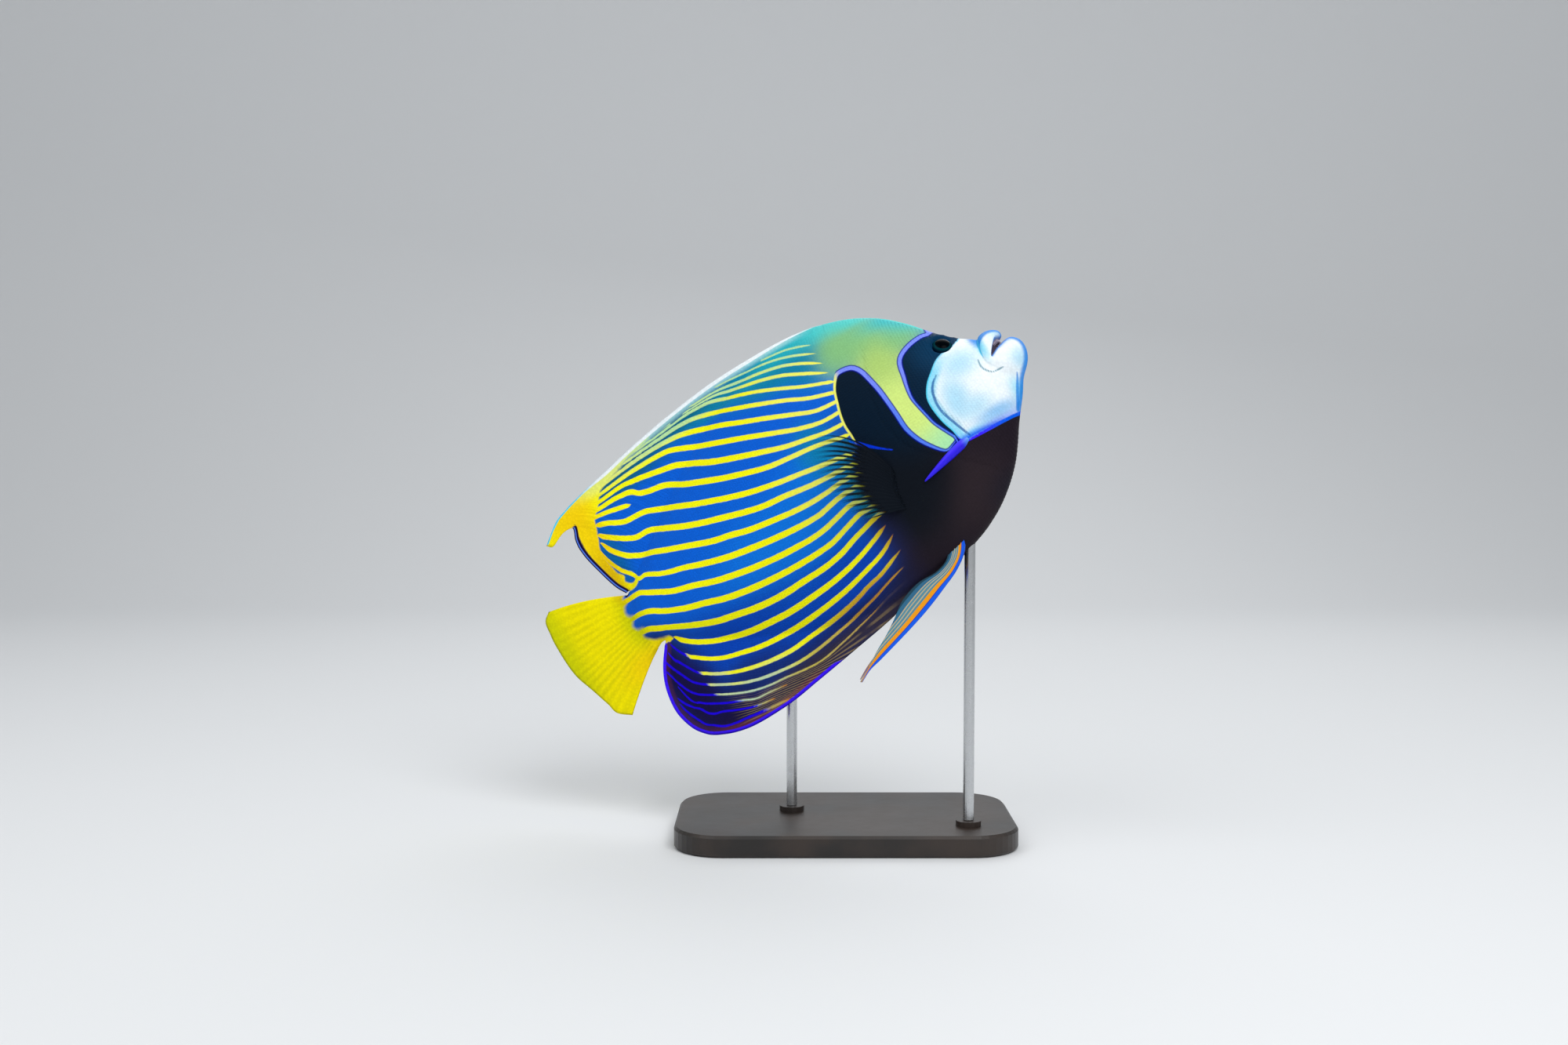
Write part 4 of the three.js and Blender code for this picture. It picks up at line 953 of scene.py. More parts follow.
@dataclass(frozen=True)
class MouthShape:
    """Profiles of the right half of the face, from behind the lips, over them and into the mouth.

    Each profile is a list of (s, half thickness, z), one point to a ring, from the top of the
    snout round the corner of the mouth to the chin.
    """

    top: Knots = (
        (20.5, 0, 18.2), (17.8, 0, 15.7), (16.4, 0, 15.1), (14.6, 0, 16.2), (11, 0, 16.2),
        (7.6, 0, 14.9), (5.1, 0, 12.7), (4.5, 0, 10.5), (5.4, 0, 8.7), (8, 0, 7.7), (11.5, 0, 6.6),
        (15, 0, 5.4))
    upper: Knots = (
        (21, 11.6, 8.6), (19.2, 10.6, 8.8), (17.9, 9.9, 9), (16.6, 10.6, 9.8), (14, 10.5, 11),
        (11.2, 9.6, 11.3), (9, 8.5, 10.5), (8, 7.6, 9.4), (8.4, 7, 8.4), (10.2, 6, 7.1),
        (13, 4.6, 6.1), (16, 2.6, 5))
    corner: Knots = (
        (21.8, 13.7, -2.5), (20, 12.9, -1.5), (18.8, 12.2, -1), (17.8, 12.5, -0.7), (16.8, 12.5, -0.4),
        (15.9, 12.1, -0.2), (15.1, 11.6, 0), (14.6, 11.1, 0.2), (14.6, 10.5, 0.5), (15.2, 9.2, 0.8),
        (16.4, 7, 1), (18, 3.6, 1.4))
    lower: Knots = (
        (21.3, 11.2, -20), (17.4, 10.8, -14.6), (14.4, 10.3, -10.6), (11.8, 10.3, -9.4),
        (9.8, 10.6, -7.4), (8.4, 10.6, -4.6), (7.6, 10, -1.6), (7.7, 9.2, 1), (8.8, 8.2, 2.8),
        (10.6, 7, 3), (13, 5.2, 2), (16, 2.6, 0.8))
    bottom: Knots = (
        (19.5, 0, -31.8), (13.2, 0, -24.6), (8.3, 0, -18), (5.2, 0, -15), (1.8, 0, -12),
        (-1, 0, -8.2), (-2.6, 0, -3.4), (-2.2, 0, 1.4), (0.6, 0, 5.2), (4.2, 0, 6), (8, 0, 4.2),
        (14, 0, 1.5))
    between: int = 3

    def rings(self, behind: Array, last: Array) -> Array:
        """Rings of points from the head's last station to the back of the mouth.

        Args:
            behind: the station before the last, as rows of s, half thickness and z.
            last: the last station, which the rings go on from.

        Returns:
            Array of rings, without the two given stations.
        """
        count = len(last)
        keys = np.array([self.top, self.upper, self.corner, self.lower, self.bottom])
        share = np.linspace(0, 1, count)
        rings = [behind, last]
        for r in range(keys.shape[1]):
            key = keys[:, r]
            mirrored = key * np.array([1, -1, 1])
            line = np.vstack([mirrored[1], key, mirrored[-2]])
            rings.append(np.stack([round_through(line[:, c], share * 4 + 1) for c in range(3)], 1))
        stack = np.stack([*rings, 2 * rings[-1] - rings[-2]])
        out = []
        for r in range(1, len(stack) - 2):
            for j in range(1, self.between + 1):
                at = r + j / self.between
                flat = stack.reshape(len(stack), -1)
                out.append(round_rows(flat, at).reshape(count, 3))
        out = np.array(out)
        out[:, [0, -1], 1] = 0
        return out


def round_rows(values: Array, at: float) -> Array:
    """Smooth value between rows of equal spacing, at a row number with its fraction.

    Args:
        values: the rows.
        at: the row number.

    Returns:
        The value there.
    """
    i = min(int(at), len(values) - 3)
    t = at - i
    a, b, c, d = values[i - 1], values[i], values[i + 1], values[i + 2]
    return 0.5 * (2 * b + (c - a) * t + (2 * a - 5 * b + 4 * c - d) * t * t
                  + (3 * b - a - 3 * c + d) * t**3)


def round_through(values: Array, places: Array) -> Array:
    """Smooth values between numbers of equal spacing, at each of the places."""
    return np.array([round_rows(values, min(at, len(values) - 2 - 1e-9)) for at in places])


class Wiring:
    """Adds shader nodes to a tree and joins them."""

    def __init__(self, tree: NodeTree) -> None:
        """Keeps the tree."""
        self.tree = tree

    def node(self, kind: str, *sources: object, **settings: object) -> Node:
        """Adds a node.

        Args:
            kind: type of the node.
            sources: sockets or plain values for its first inputs.
            settings: its own settings.

        Returns:
            The node.
        """
        made = self.tree.nodes.new(kind)
        for key, value in settings.items():
            setattr(made, key, value)
        for source, target in zip(sources, made.inputs):
            self.join(source, target)
        return made

    def join(self, source: object, target: NodeSocket) -> None:
        """Puts a value into an input.

        Args:
            source: socket or plain value.
            target: the input.
        """
        if isinstance(source, NodeSocket):
            self.tree.links.new(source, target)
        else:
            target.default_value = source

    def feed(self, node: Node, inputs: dict[str, object]) -> None:
        """Puts values into a node's inputs by their names."""
        for name, source in inputs.items():
            self.join(source, node.inputs[name])

    def math(self, operation: str, *sources: object) -> NodeSocket:
        """Works out a number from sockets or numbers."""
        return self.node("ShaderNodeMath", *sources, operation=operation).outputs[0]

    def times(self, first: object, second: object) -> NodeSocket:
        """Product of two numbers."""
        return self.math("MULTIPLY", first, second)

    def plus(self, first: object, second: object) -> NodeSocket:
        """Sum of two numbers."""
        return self.math("ADD", first, second)

    def minus(self, first: object, second: object) -> NodeSocket:
        """Difference of two numbers."""
        return self.math("SUBTRACT", first, second)

    def away(self, first: object, second: object) -> NodeSocket:
        """Distance between two numbers."""
        return self.math("ABSOLUTE", self.minus(first, second))

    def blend(self, share: object, first: object, second: object) -> NodeSocket:
        """Mixes two colours.

        Args:
            share: how much of the second colour there is, from 0 to 1.
            first: colour that is covered.
            second: colour that covers it.

        Returns:
            The mixed colour.
        """
        made = self.node("ShaderNodeMix", share, data_type="RGBA")
        self.join(first, made.inputs[6])
        self.join(second, made.inputs[7])
        return made.outputs[2]

    def step(self, value: object, low: object, high: object) -> NodeSocket:
        """Smooth step of a number from 0 at low to 1 at high."""
        made = self.node("ShaderNodeMapRange", value, low, high, interpolation_type="SMOOTHSTEP")
        return made.outputs[0]

    def value(self, name: str) -> NodeSocket:
        """Number stored on the mesh under a name."""
        return self.node("ShaderNodeAttribute", attribute_name=name).outputs["Fac"]

    def tint(self, name: str) -> NodeSocket:
        """Colour stored on the mesh under a name."""
        return self.node("ShaderNodeAttribute", attribute_name=name).outputs["Color"]

    def three(self, name: str) -> list[NodeSocket]:
        """Three numbers stored on the mesh under a name."""
        stored = self.node("ShaderNodeAttribute", attribute_name=name).outputs["Vector"]
        return list(self.node("ShaderNodeSeparateXYZ", stored).outputs)

    def noise(self, scale: float, detail: float = 2) -> NodeSocket:
        """Noise over object coordinates.

        Args:
            scale: how fine it is, in spots per metre.
            detail: how many finer layers it has.

        Returns:
            The noise, around 0.5.
        """
        made = self.node("ShaderNodeTexNoise", self.node("ShaderNodeTexCoord").outputs["Object"])
        self.feed(made, {"Scale": scale, "Detail": detail})
        return made.outputs["Fac"]


@dataclass(frozen=True)
class MarkingsPaint:
    """Node group that turns the stored markings into a colour."""

    soft: float = 0.3
    ink: float = 0.95
    ink_wider: float = 1.2
    ripple: float = 0.4
    ripple_scale: float = 380
    # Strength of the painted shade in the grooves between the tail's rays.
    tail_tone: float = 0.28
    strands: int = 4

    def build(self) -> NodeTree:
        """Builds the group.

        Returns:
            The group, whose only output is a colour.
        """
        group = bpy.data.node_groups.new("Markings", "ShaderNodeTree")
        group.interface.new_socket("Color", in_out="OUTPUT", socket_type="NodeSocketColor")
        w = Wiring(group)
        leave = w.node("NodeGroupOutput")
        ripple = w.times(w.minus(w.noise(self.ripple_scale), 0.5), self.ripple)
        colour = self._margin(w, self._stripes(w, ripple))
        far_mask, far_face, far_shade = w.three("edge_far")
        wide_mask, wide_face, wide_shade = w.three("edge_width")
        fold, fold_width, ink = w.three("crease")
        rim, ink_wash = w.tint("rim"), w.times(ink, self.ink)
        for far, wide, tint, inked in ((far_shade, wide_shade, "dark", True),
                                       (far_mask, wide_mask, "mask_tint", True),
                                       (far_face, wide_face, "face_tint", False)):
            colour = self._fill(w, colour, far, wide, w.tint(tint), ripple)
            if inked:
                wider = w.plus(wide, self.ink_wider)
                colour = self._stroke(w, colour, far, wider, Tint.INK_BLUE.rgba, ink_wash)
            colour = self._stroke(w, colour, far, wide, rim, 1.0)
        # Painted shade in the folds, and the ear patch's blue line.
        colour = self._stroke(w, colour, fold, fold_width, w.tint("fold_shade_and_line_tint"), 0.8)
        w.join(w.blend(w.value("inner"), colour, Tint.MOUTH.rgba), leave.inputs["Color"])
        return group

    def _stripes(self, w: Wiring, ripple: NodeSocket) -> NodeSocket:
        """Stripes, the yellow areas and painted shade between the tail's rays, over the ground.

        Args:
            w: wiring of the group.
            ripple: small unevenness of the edges, in millimetres.

        Returns:
            The colour.
        """
        phase, gap, half = w.three("stripe")
        far = w.plus(w.times(w.away(phase, w.math("ROUND", phase)), gap), ripple)
        mask = w.step(far, w.plus(half, self.soft), w.minus(half, self.soft))
        mask = w.times(mask, w.step(half, 0.08, 0.3))
        yellow = w.step(w.plus(w.value("yellow_far"), ripple), 0.7, -0.7)
        mask = w.math("MAXIMUM", mask, yellow)
        # Olive between the tail's rays, where the fin is thinner: painted shade in the grooves.
        number = w.value("ray_number")
        groove = w.math("MULTIPLY_ADD", w.math("COSINE", w.times(number, FULL_TURN)), -0.5, 0.5)
        dark = w.times(groove, w.step(number, TAIL_FROM - 1, TAIL_FROM - 0.5))
        dark = w.times(dark, w.step(w.noise(45), 0.25, 0.7))
        line = w.blend(w.times(dark, self.tail_tone), w.tint("line"), Tint.OLIVE.rgba)
        strand = w.math("COSINE", w.times(phase, FULL_TURN * self.strands))
        strand = w.times(w.step(strand, 0.0, 0.9), w.value("hair"))
        strand = w.times(strand, w.step(w.noise(60), 0.35, 0.6))
        ground = w.blend(w.times(strand, 0.5), w.tint("ground"), Tint.STRIPE_SAND.rgba)
        return w.blend(mask, ground, line)

    def _margin(self, w: Wiring, below: NodeSocket) -> NodeSocket:
        """Bright line along the fins' margins, in the middle of a dark band at the dorsal's rear, and
        along the back before the dorsal fin, where it is a painted highlight.

        Args:
            w: wiring of the group.
            below: colour under it.

        Returns:
            The colour.
        """
        far, width, middle = w.three("margin")
        band = w.times(w.step(middle, 0.2, 0.8), w.step(far, 3.2, 2.5))
        below = w.blend(band, below, Tint.NAVY_VIOLET.rgba)
        on = w.step(w.away(far, middle), w.plus(width, self.soft), w.minus(width, self.soft))
        return w.blend(w.times(on, w.step(width, 0.05, 0.3)), below, w.tint("edge"))

    def _fill(self, w: Wiring, below: NodeSocket, distance: NodeSocket, width: NodeSocket,
              tint: object, ripple: NodeSocket) -> NodeSocket:
        """Fills a region inside its edge.

        Args:
            w: wiring of the group.
            below: colour under it.
            distance: distance to the edge, below zero inside.
            width: width of the edge's line or, below zero, the edge's blur.
            tint: colour of the region.
            ripple: small unevenness of the edge.

        Returns:
            The colour.
        """
        blur = w.math("MAXIMUM", w.times(width, -1.0), self.soft)
        return w.blend(w.step(w.plus(distance, ripple), blur, w.times(blur, -1.0)), below, tint)

    def _stroke(self, w: Wiring, below: NodeSocket, distance: NodeSocket, width: NodeSocket,
                tint: object, strength: object) -> NodeSocket:
        """Draws a line along an edge.

        Args:
            w: wiring of the group.
            below: colour under it.
            distance: distance to the edge.
            width: width of the line.
            tint: colour of the line.
            strength: how much of it covers, from 0 to 1.

        Returns:
            The colour.
        """
        reach, away = w.times(width, 0.5), w.math("ABSOLUTE", distance)
        on = w.step(away, w.plus(reach, self.soft), w.minus(reach, self.soft))
        on = w.times(on, w.times(w.step(width, 0.0, 0.5), strength))
        return w.blend(on, below, tint)


def bare_material(name: str) -> tuple[Material, Wiring, Node]:
    """New material with a Principled shader.

    Args:
        name: name of the material.

    Returns:
        The material, a wiring helper for its tree and the shader.
    """
    material = bpy.data.materials.new(name)
    material.use_nodes = True
    wiring = Wiring(material.node_tree)
    shader = next(n for n in material.node_tree.nodes if n.type == "BSDF_PRINCIPLED")
    return material, wiring, shader


@dataclass(frozen=True)
class SkinFinish:
    """Painted skin with a fine bumpy grain, used on the skin and on the scales over it; the colour is a
    little darker in the grain's hollows, as painted shade.
    """

    name: str = "skin_paint"
    roughness: float = 0.5
    gloss: float = 0.05
    bump: float = 0.2
    grain: float = 640
    # How much darker the grain's hollows are painted, as painted shade.
    tone: float = 0.1
    rise: float = 0.0004

    def make(self, markings: NodeTree) -> Material:
        """Builds the material around the markings group.

        Args:
            markings: the group.

        Returns:
            The material.
        """
        material, w, shader = bare_material(self.name)
        group = w.node("ShaderNodeGroup", node_tree=markings)
        grain = w.node("ShaderNodeTexVoronoi", w.node("ShaderNodeTexCoord").outputs["Object"])
        w.feed(grain, {"Scale": self.grain})
        # The bump raises the middle of each cell; the colour is darkened towards the cell edges as
        # painted shade.
        speck = w.step(grain.outputs["Distance"], 0.75, 0.1)
        shaded = w.node("ShaderNodeVectorMath", group.outputs["Color"], operation="SCALE")
        w.feed(shaded, {"Scale": w.math("MULTIPLY_ADD", speck, self.tone, 1 - self.tone / 2)})
        bump = w.node("ShaderNodeBump")
        w.feed(bump, {"Strength": self.bump, "Distance": self.rise, "Height": speck})
        rough = w.math("MULTIPLY_ADD", w.noise(90), 0.2, self.roughness - 0.1)
        w.feed(shader, {"Base Color": shaded.outputs[0], "Roughness": rough,
                        "Specular IOR Level": self.gloss, "Normal": bump.outputs[0]})
        return material


@dataclass(frozen=True)
class PlainFinish:
    """One tint with a little variation, for teeth, spines and the like."""

    name: str
    tint: Tint
    second: Tint
    roughness: float = 0.4
    metallic: float = 0.0
    grain: float = 60
    bump: float = 0.1
    rise: float = 0.0003

    def make(self) -> Material:
        """Builds the material.

        Returns:
            The material.
        """
        material, w, shader = bare_material(self.name)
        share = w.step(w.noise(self.grain, 4), 0.35, 0.65)
        bump = w.node("ShaderNodeBump")
        w.feed(bump, {"Strength": self.bump, "Distance": self.rise, "Height": w.noise(self.grain * 6)})
        rough = w.math("MULTIPLY_ADD", w.noise(self.grain * 2), 0.15, self.roughness - 0.07)
        w.feed(shader, {"Base Color": w.blend(share, self.tint.rgba, self.second.rgba),
                        "Roughness": rough, "Metallic": self.metallic, "Normal": bump.outputs[0]})
        return material


class Fish:
    """Shared tools of the fish's pieces: hull, markings, pose and where each piece rides."""

    def __init__(self) -> None:
        """Builds the shared parts."""
        self.hull = Hull()
        self.markings = Markings()
        self.pose = Pose().matrix()

    def surface(self, s: Array, z: Array) -> Array:
        """Half thickness of the body at places on its side."""
        return self.hull.body_half(np.asarray(s, float), np.asarray(z, float))

    def spot(self, s: float, z: float, side: Side) -> tuple[Vector, Vector]:
        """Point on the flank and the direction straight out of it.

        Args:
            s: distance back.
            z: height.
            side: side of the fish.

        Returns:
            The point and the unit direction, in the fish's frame.
        """
        step = 0.5
        around = self.surface([s, s + step, s - step, s, s], [z, z, z, z + step, z - step])
        along = (around[1] - around[2]) / (2 * step)
        up = (around[3] - around[4]) / (2 * step)
        normal = Vector((along, side.value, -up)).normalized()
        return Vector((-s, side.value * around[0], z)), normal

    def finish(self, bm: BMesh, name: str, slot: str, nodes: Sequence[str],
               material: Material, paint: Callable[[Mesh, Array], None] | None = None) -> Object:
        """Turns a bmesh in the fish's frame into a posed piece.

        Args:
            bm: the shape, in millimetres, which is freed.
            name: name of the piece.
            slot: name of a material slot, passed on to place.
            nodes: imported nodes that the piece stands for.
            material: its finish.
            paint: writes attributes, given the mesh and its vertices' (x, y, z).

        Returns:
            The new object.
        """
        mesh = bpy.data.meshes.new(name)
        bm.to_mesh(mesh)
        bm.free()
        if paint is not None:
            co = np.zeros(len(mesh.vertices) * 3, np.float32)
            mesh.vertices.foreach_get("co", co)
            paint(mesh, co.reshape(-1, 3).astype(float))
        mesh.shade_smooth()
        return self.place(mesh, name, slot, nodes, material)

    def place(self, mesh: Mesh, name: str, slot: str, nodes: Sequence[str],
              material: Material) -> Object:
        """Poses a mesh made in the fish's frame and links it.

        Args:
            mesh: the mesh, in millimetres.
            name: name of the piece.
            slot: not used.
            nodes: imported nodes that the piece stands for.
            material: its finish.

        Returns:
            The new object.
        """
        mesh.transform(self.pose)
        mesh.materials.append(material)
        piece = bpy.data.objects.new(name, mesh)
        bpy.context.scene.collection.objects.link(piece)
        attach(piece, "root")
        if nodes:
            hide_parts(*nodes)
        LOG.info("%s: %d faces", name, len(mesh.polygons))
        return piece


@dataclass
class Skin:
    """The one skin over the whole fish, from the lips to the tail's margin."""

    fish: Fish
    rows: int = 136
    head_end: float = 24
    stem_end: float = 268
    step: float = 1.35
    fine_from: float = 224
    fine_to: float = 265.4
    fine_step: float = 0.5
    tail_columns: int = 36
    inner_from: int = 10
    socket: Triple = (*EYE_AT, 5.7)
    nostrils: tuple[Triple, ...] = ((25.6, 19.2, 0.9), (23.4, 17, 0.7))
    socket_depth: float = 2.4
    brim: float = 0.55
    groove_depth: float = 0.55
    gill_depth: float = 0.3
    nostril_depth: float = 0.9
    groove: Outline = Outline([[44, 6.5], [46.5, 4], [49.7, 0.1], [51.6, -6.1], [51.4, -12.2],
                               [49.2, -19.6], [47, -26.9]], closed=False)
    gill: Outline = Outline([[70, 46], [73.5, 34], [76.5, 24], [79.5, 14], [80.5, 2], [79, -12],
                             [73, -24], [64, -33], [54, -43], [44, -55]], closed=False)

    def columns(self) -> Array:
        """Columns of points down the right side, from the back of the mouth to the tail's margin.

        Returns:
            Grid of columns and their points, each with its s, half thickness, z and ray number.
        """
        hull = self.fish.hull
        stations = list(np.arange(self.head_end, self.fine_from, self.step))
        stations += list(np.arange(self.fine_from, self.fine_to, self.fine_step))
        stations += list(np.linspace(self.fine_to, self.stem_end, 3))
        body = [hull.column(float(s), self.rows) for s in stations]
        behind = hull.column(self.head_end + 3.0, self.rows)
        front = MouthShape().rings(behind[:, :3], body[0][:, :3])
        mouth = [np.hstack([ring, np.zeros((self.rows, 1))]) for ring in front[::-1]]
        start = body[-1]
        tail = [hull.tail_column(w, start) for w in np.linspace(0, 1, self.tail_columns + 1)[1:]]
        return np.array([*mouth, *body, *tail])

    def dent(self, grid: Array) -> Array:
        """Depth to press the skin in at each place, for sockets, grooves and the gill opening.

        Args:
            grid: rows of the profile columns.

        Returns:
            Depths, in millimetres.
        """
        s, z = grid[..., 0].ravel(), grid[..., 2].ravel()
        centre_s, centre_z, radius = self.socket
        away = np.hypot(s - centre_s, z - centre_z)
        depth = self.socket_depth * (1 - smooth(away, radius - 1.2, radius + 0.2))
        depth = depth - self.brim * np.exp(-(((away - radius - 0.9) / 0.8) ** 2))
        depth = depth + self.groove_depth * np.exp(-((self.groove.distance(s, z)[0] / 0.8) ** 2))
        depth = depth + self.gill_depth * np.exp(-((self.gill.distance(s, z)[0] / 0.9) ** 2))
        for pit_s, pit_z, size in self.nostrils:
            pit = np.exp(-((np.hypot(s - pit_s, z - pit_z) / size) ** 2))
            depth = depth + self.nostril_depth * pit
        depth = depth * smooth(s, 20, 22.5)
        return depth.reshape(grid.shape[:2])

    def shape(self) -> tuple[Array, Array, Array]:
        """Works out the right half of the skin.

        Returns:
            Rows of the profile columns, their places in the fish's frame, and the directions
            straight out of the surface.
        """
        grid = self.columns()
        place = np.stack([-grid[..., 0], -grid[..., 1], grid[..., 2]], -1)
        along, down = np.gradient(place, axis=0), np.gradient(place, axis=1)
        normal = np.cross(along, down)
        normal /= np.maximum(np.linalg.norm(normal, axis=-1, keepdims=True), 1e-9)
        normal *= np.where(normal[..., 1:2] > 0, -1, 1)
        depth = self.dent(grid) * smooth(grid[..., 1], 0.5, 4)
        return grid, place - normal * depth[..., None], normal

    def build(self, material: Material, grid: Array, place: Array) -> Object:
        """Makes the skin.

        Args:
            material: its finish.
            grid: rows of the profile columns.
            place: where each of their points lies.

        Returns:
            The piece.
        """
        columns, rows = grid.shape[:2]
        bm = bmesh.new()
        bmesh.ops.create_grid(bm, x_segments=columns - 1, y_segments=rows - 1, size=1)
        ray = bm.verts.layers.float.new("ray_number")
        inner = bm.verts.layers.float.new("inner")
        mouth = (len(MouthShape().top) - self.inner_from) * MouthShape().between
        for vert in bm.verts:
            i = round((vert.co.x + 1) / 2 * (columns - 1))
            j = round((vert.co.y + 1) / 2 * (rows - 1))
            vert[ray] = grid[i, j, 3]
            vert[inner] = float(1 - smooth(i, mouth - 1, mouth + 3))
            vert.co = place[i, j]
        bmesh.ops.mirror(bm, geom=bm.faces[:] + bm.edges[:] + bm.verts[:], axis="Y", merge_dist=1e-4)
        bmesh.ops.remove_doubles(bm, verts=bm.verts, dist=1e-4)
        bmesh.ops.dissolve_degenerate(bm, dist=1e-5, edges=bm.edges)
        bmesh.ops.holes_fill(bm, edges=[e for e in bm.edges if e.is_boundary], sides=0)
        bmesh.ops.recalc_face_normals(bm, faces=bm.faces)
        nodes = ["head", "gill_cover_right", "gill_cover_left", "upper_lip", "lower_lip", "torso",
                 "tail_stem", "dorsal_fin", "anal_fin", "caudal_fin"]
        return self.fish.finish(bm, "fish_skin", "flank_skin", nodes, material, self.paint)

    def paint(self, mesh: Mesh, co: Array) -> None:
        """Writes the markings.

        Args:
            mesh: the mesh.
            co: (x, y, z) of its vertices.
        """
        number = np.zeros(len(co), np.float32)
        mesh.attributes["ray_number"].data.foreach_get("value", number)
        self.fish.markings.write(mesh, -co[:, 0], co[:, 2], self.fish.hull, number > TAIL_FROM - 1)


@dataclass
class Scales:
    """Coat of small overlapping scales, the same on both sides."""

    fish: Fish
    pitch: float = 1.5
    across: float = 1.5
    first: float = 27
    last: float = 268
    size: Triple = (1.25, 1.0, 0.11)
    lift: float = 0.09
    margin: float = 6
    eye: Triple = (*EYE_AT, 7.4)
    spread: float = 0.1
    patch: float = 0.003
    parts: int = 2
    seed: int = 7

    def sites(self, grid: Array, place: Array, normal: Array) -> dict[str, Array]:
        """Chooses where the scales sit, in staggered rows.

        Args:
            grid: rows of the skin's profile columns.
            place: where their points lie.
            normal: directions out of the skin.

        Returns:
            Places, the rearward, sideways and outward directions, sizes and unwrap places.
        """
        stations = grid[:, grid.shape[1] // 2, 0]
        start = len(MouthShape().top) * MouthShape().between
        columns = np.arange(start, grid.shape[0])
        rows = grid.shape[1]
        lengths = np.linalg.norm(np.diff(place, axis=1), axis=2).sum(1)
        picks = []
        for k, s in enumerate(np.arange(self.first, self.last, self.pitch)):
            i = float(np.interp(s, stations[columns], columns))
            count = int(np.interp(i, np.arange(grid.shape[0]), lengths) / self.across)
            j = (np.arange(count) + 0.25 + 0.5 * (k % 2)) / count * (rows - 1)
            picks.append(np.stack([np.full(count, i), j], 1))
        at = np.vstack(picks)
        at = at[at[:, 1] < rows - 1]
        spot, out = between(place, at), between(normal, at)
        back = between(np.gradient(place, axis=0), at)
        out /= np.linalg.norm(out, axis=1, keepdims=True)
        back -= out * np.sum(back * out, axis=1, keepdims=True)
        back /= np.linalg.norm(back, axis=1, keepdims=True)
        s, z = -spot[:, 0], spot[:, 2]
        *upper, lower = [line.distance(s, z)[0] for line in self.fish.hull.margins()]
        edge = np.where(z > 0, np.min(upper, axis=0), lower)
        keep = (edge > self.margin) | ((s < 84) & (edge > 0.8)) | ((z < 0) & (s < 126))
        keep &= np.hypot(s - self.eye[0], z - self.eye[1]) > self.eye[2]
        keep &= np.abs(spot[:, 1]) > 0.4
        grow = np.clip(0.45 + 0.08 * (edge - self.margin), 0.45, 1)
        grow = np.where((s < 84) | (z < 0) & (s < 126), 1, grow) * (0.72 + 0.28 * smooth(s, 30, 75))
        unwrap = np.stack([(s - 10) / 320, at[:, 1] / (rows - 1)], 1)
        found = {"spot": spot, "back": back, "side": np.cross(out, back), "out": out,
                 "grow": grow, "uv": unwrap}
        return {key: value[keep] for key, value in found.items()}

    def build(self, material: Material, sites: dict[str, Array]) -> None:
        """Joins the scales of each side to meshes, the front ones and the rear ones apart.

        Args:
            material: their finish.
            sites: where they sit, on the right side.
        """
        bm = bmesh.new()
        bmesh.ops.create_uvsphere(bm, u_segments=8, v_segments=2, radius=1)
        shape = np.array([v.co[:] for v in bm.verts])
        faces = np.array([[v.index for v in f.verts] for f in bm.faces])
        bm.free()
        count = len(sites["spot"])
        rng = np.random.default_rng(self.seed)
        turn = rng.normal(0, self.spread, count)[:, None]
        scale = (sites["grow"] * rng.normal(1, self.spread / 2, count))[:, None]
        back = sites["back"] * np.cos(turn) + sites["side"] * np.sin(turn)
        side = np.cross(sites["out"], back)
        long, wide, thick = self.size
        x, y, z = shape.T
        rise = thick * z + self.lift * (x + 0.6)
        place = sites["spot"][:, None] + back[:, None] * (long * scale * x)[..., None]
        place = place + side[:, None] * (wide * scale * y)[..., None]
        place = place + sites["out"][:, None] * (scale * rise)[..., None]
        uv = sites["uv"][:, None] + shape[None, :, :2] * self.patch / 2
        for part, chosen in enumerate(np.array_split(np.arange(count), self.parts), 1):
            verts = place[chosen].reshape(-1, 3)
            corners = (faces[None] + len(shape) * np.arange(len(chosen))[:, None, None]).reshape(-1, 3)
            mesh = bpy.data.meshes.new("scales")
            mesh.from_pydata(verts.tolist(), [], corners.tolist())
            unwrap = uv[chosen].reshape(-1, 2)[corners.ravel()].astype(np.float32)
            mesh.uv_layers.new(name="OFBake").data.foreach_set("uv", unwrap.ravel())
            none = np.zeros(len(verts))
            self.fish.markings.write(mesh, -verts[:, 0], verts[:, 2], self.fish.hull, none > 0)
            write_value(mesh, "ray_number", none)
            write_value(mesh, "inner", none)
            mesh.validate()
            other = mesh.copy()
            other.transform(Matrix.Scale(-1, 4, (0, 1, 0)))
            other.flip_normals()
            self.fish.place(mesh, f"scales_right_{part}", "flank_skin", (), material)
            self.fish.place(other, f"scales_left_{part}", "flank_skin", (), material)


def between(values: Array, at: Array) -> Array:
    """Reads a grid of vectors between its points.

    Args:
        values: grid of vectors.
        at: rows of column and row numbers with their fractions.

    Returns:
        One vector for each row of at.
    """
    i = np.clip(at[:, 0].astype(int), 0, values.shape[0] - 2)
    j = np.clip(at[:, 1].astype(int), 0, values.shape[1] - 2)
    a, b = (at[:, 0] - i)[:, None], (at[:, 1] - j)[:, None]
    near = values[i, j] * (1 - b) + values[i, j + 1] * b
    return near * (1 - a) + (values[i + 1, j] * (1 - b) + values[i + 1, j + 1] * b) * a


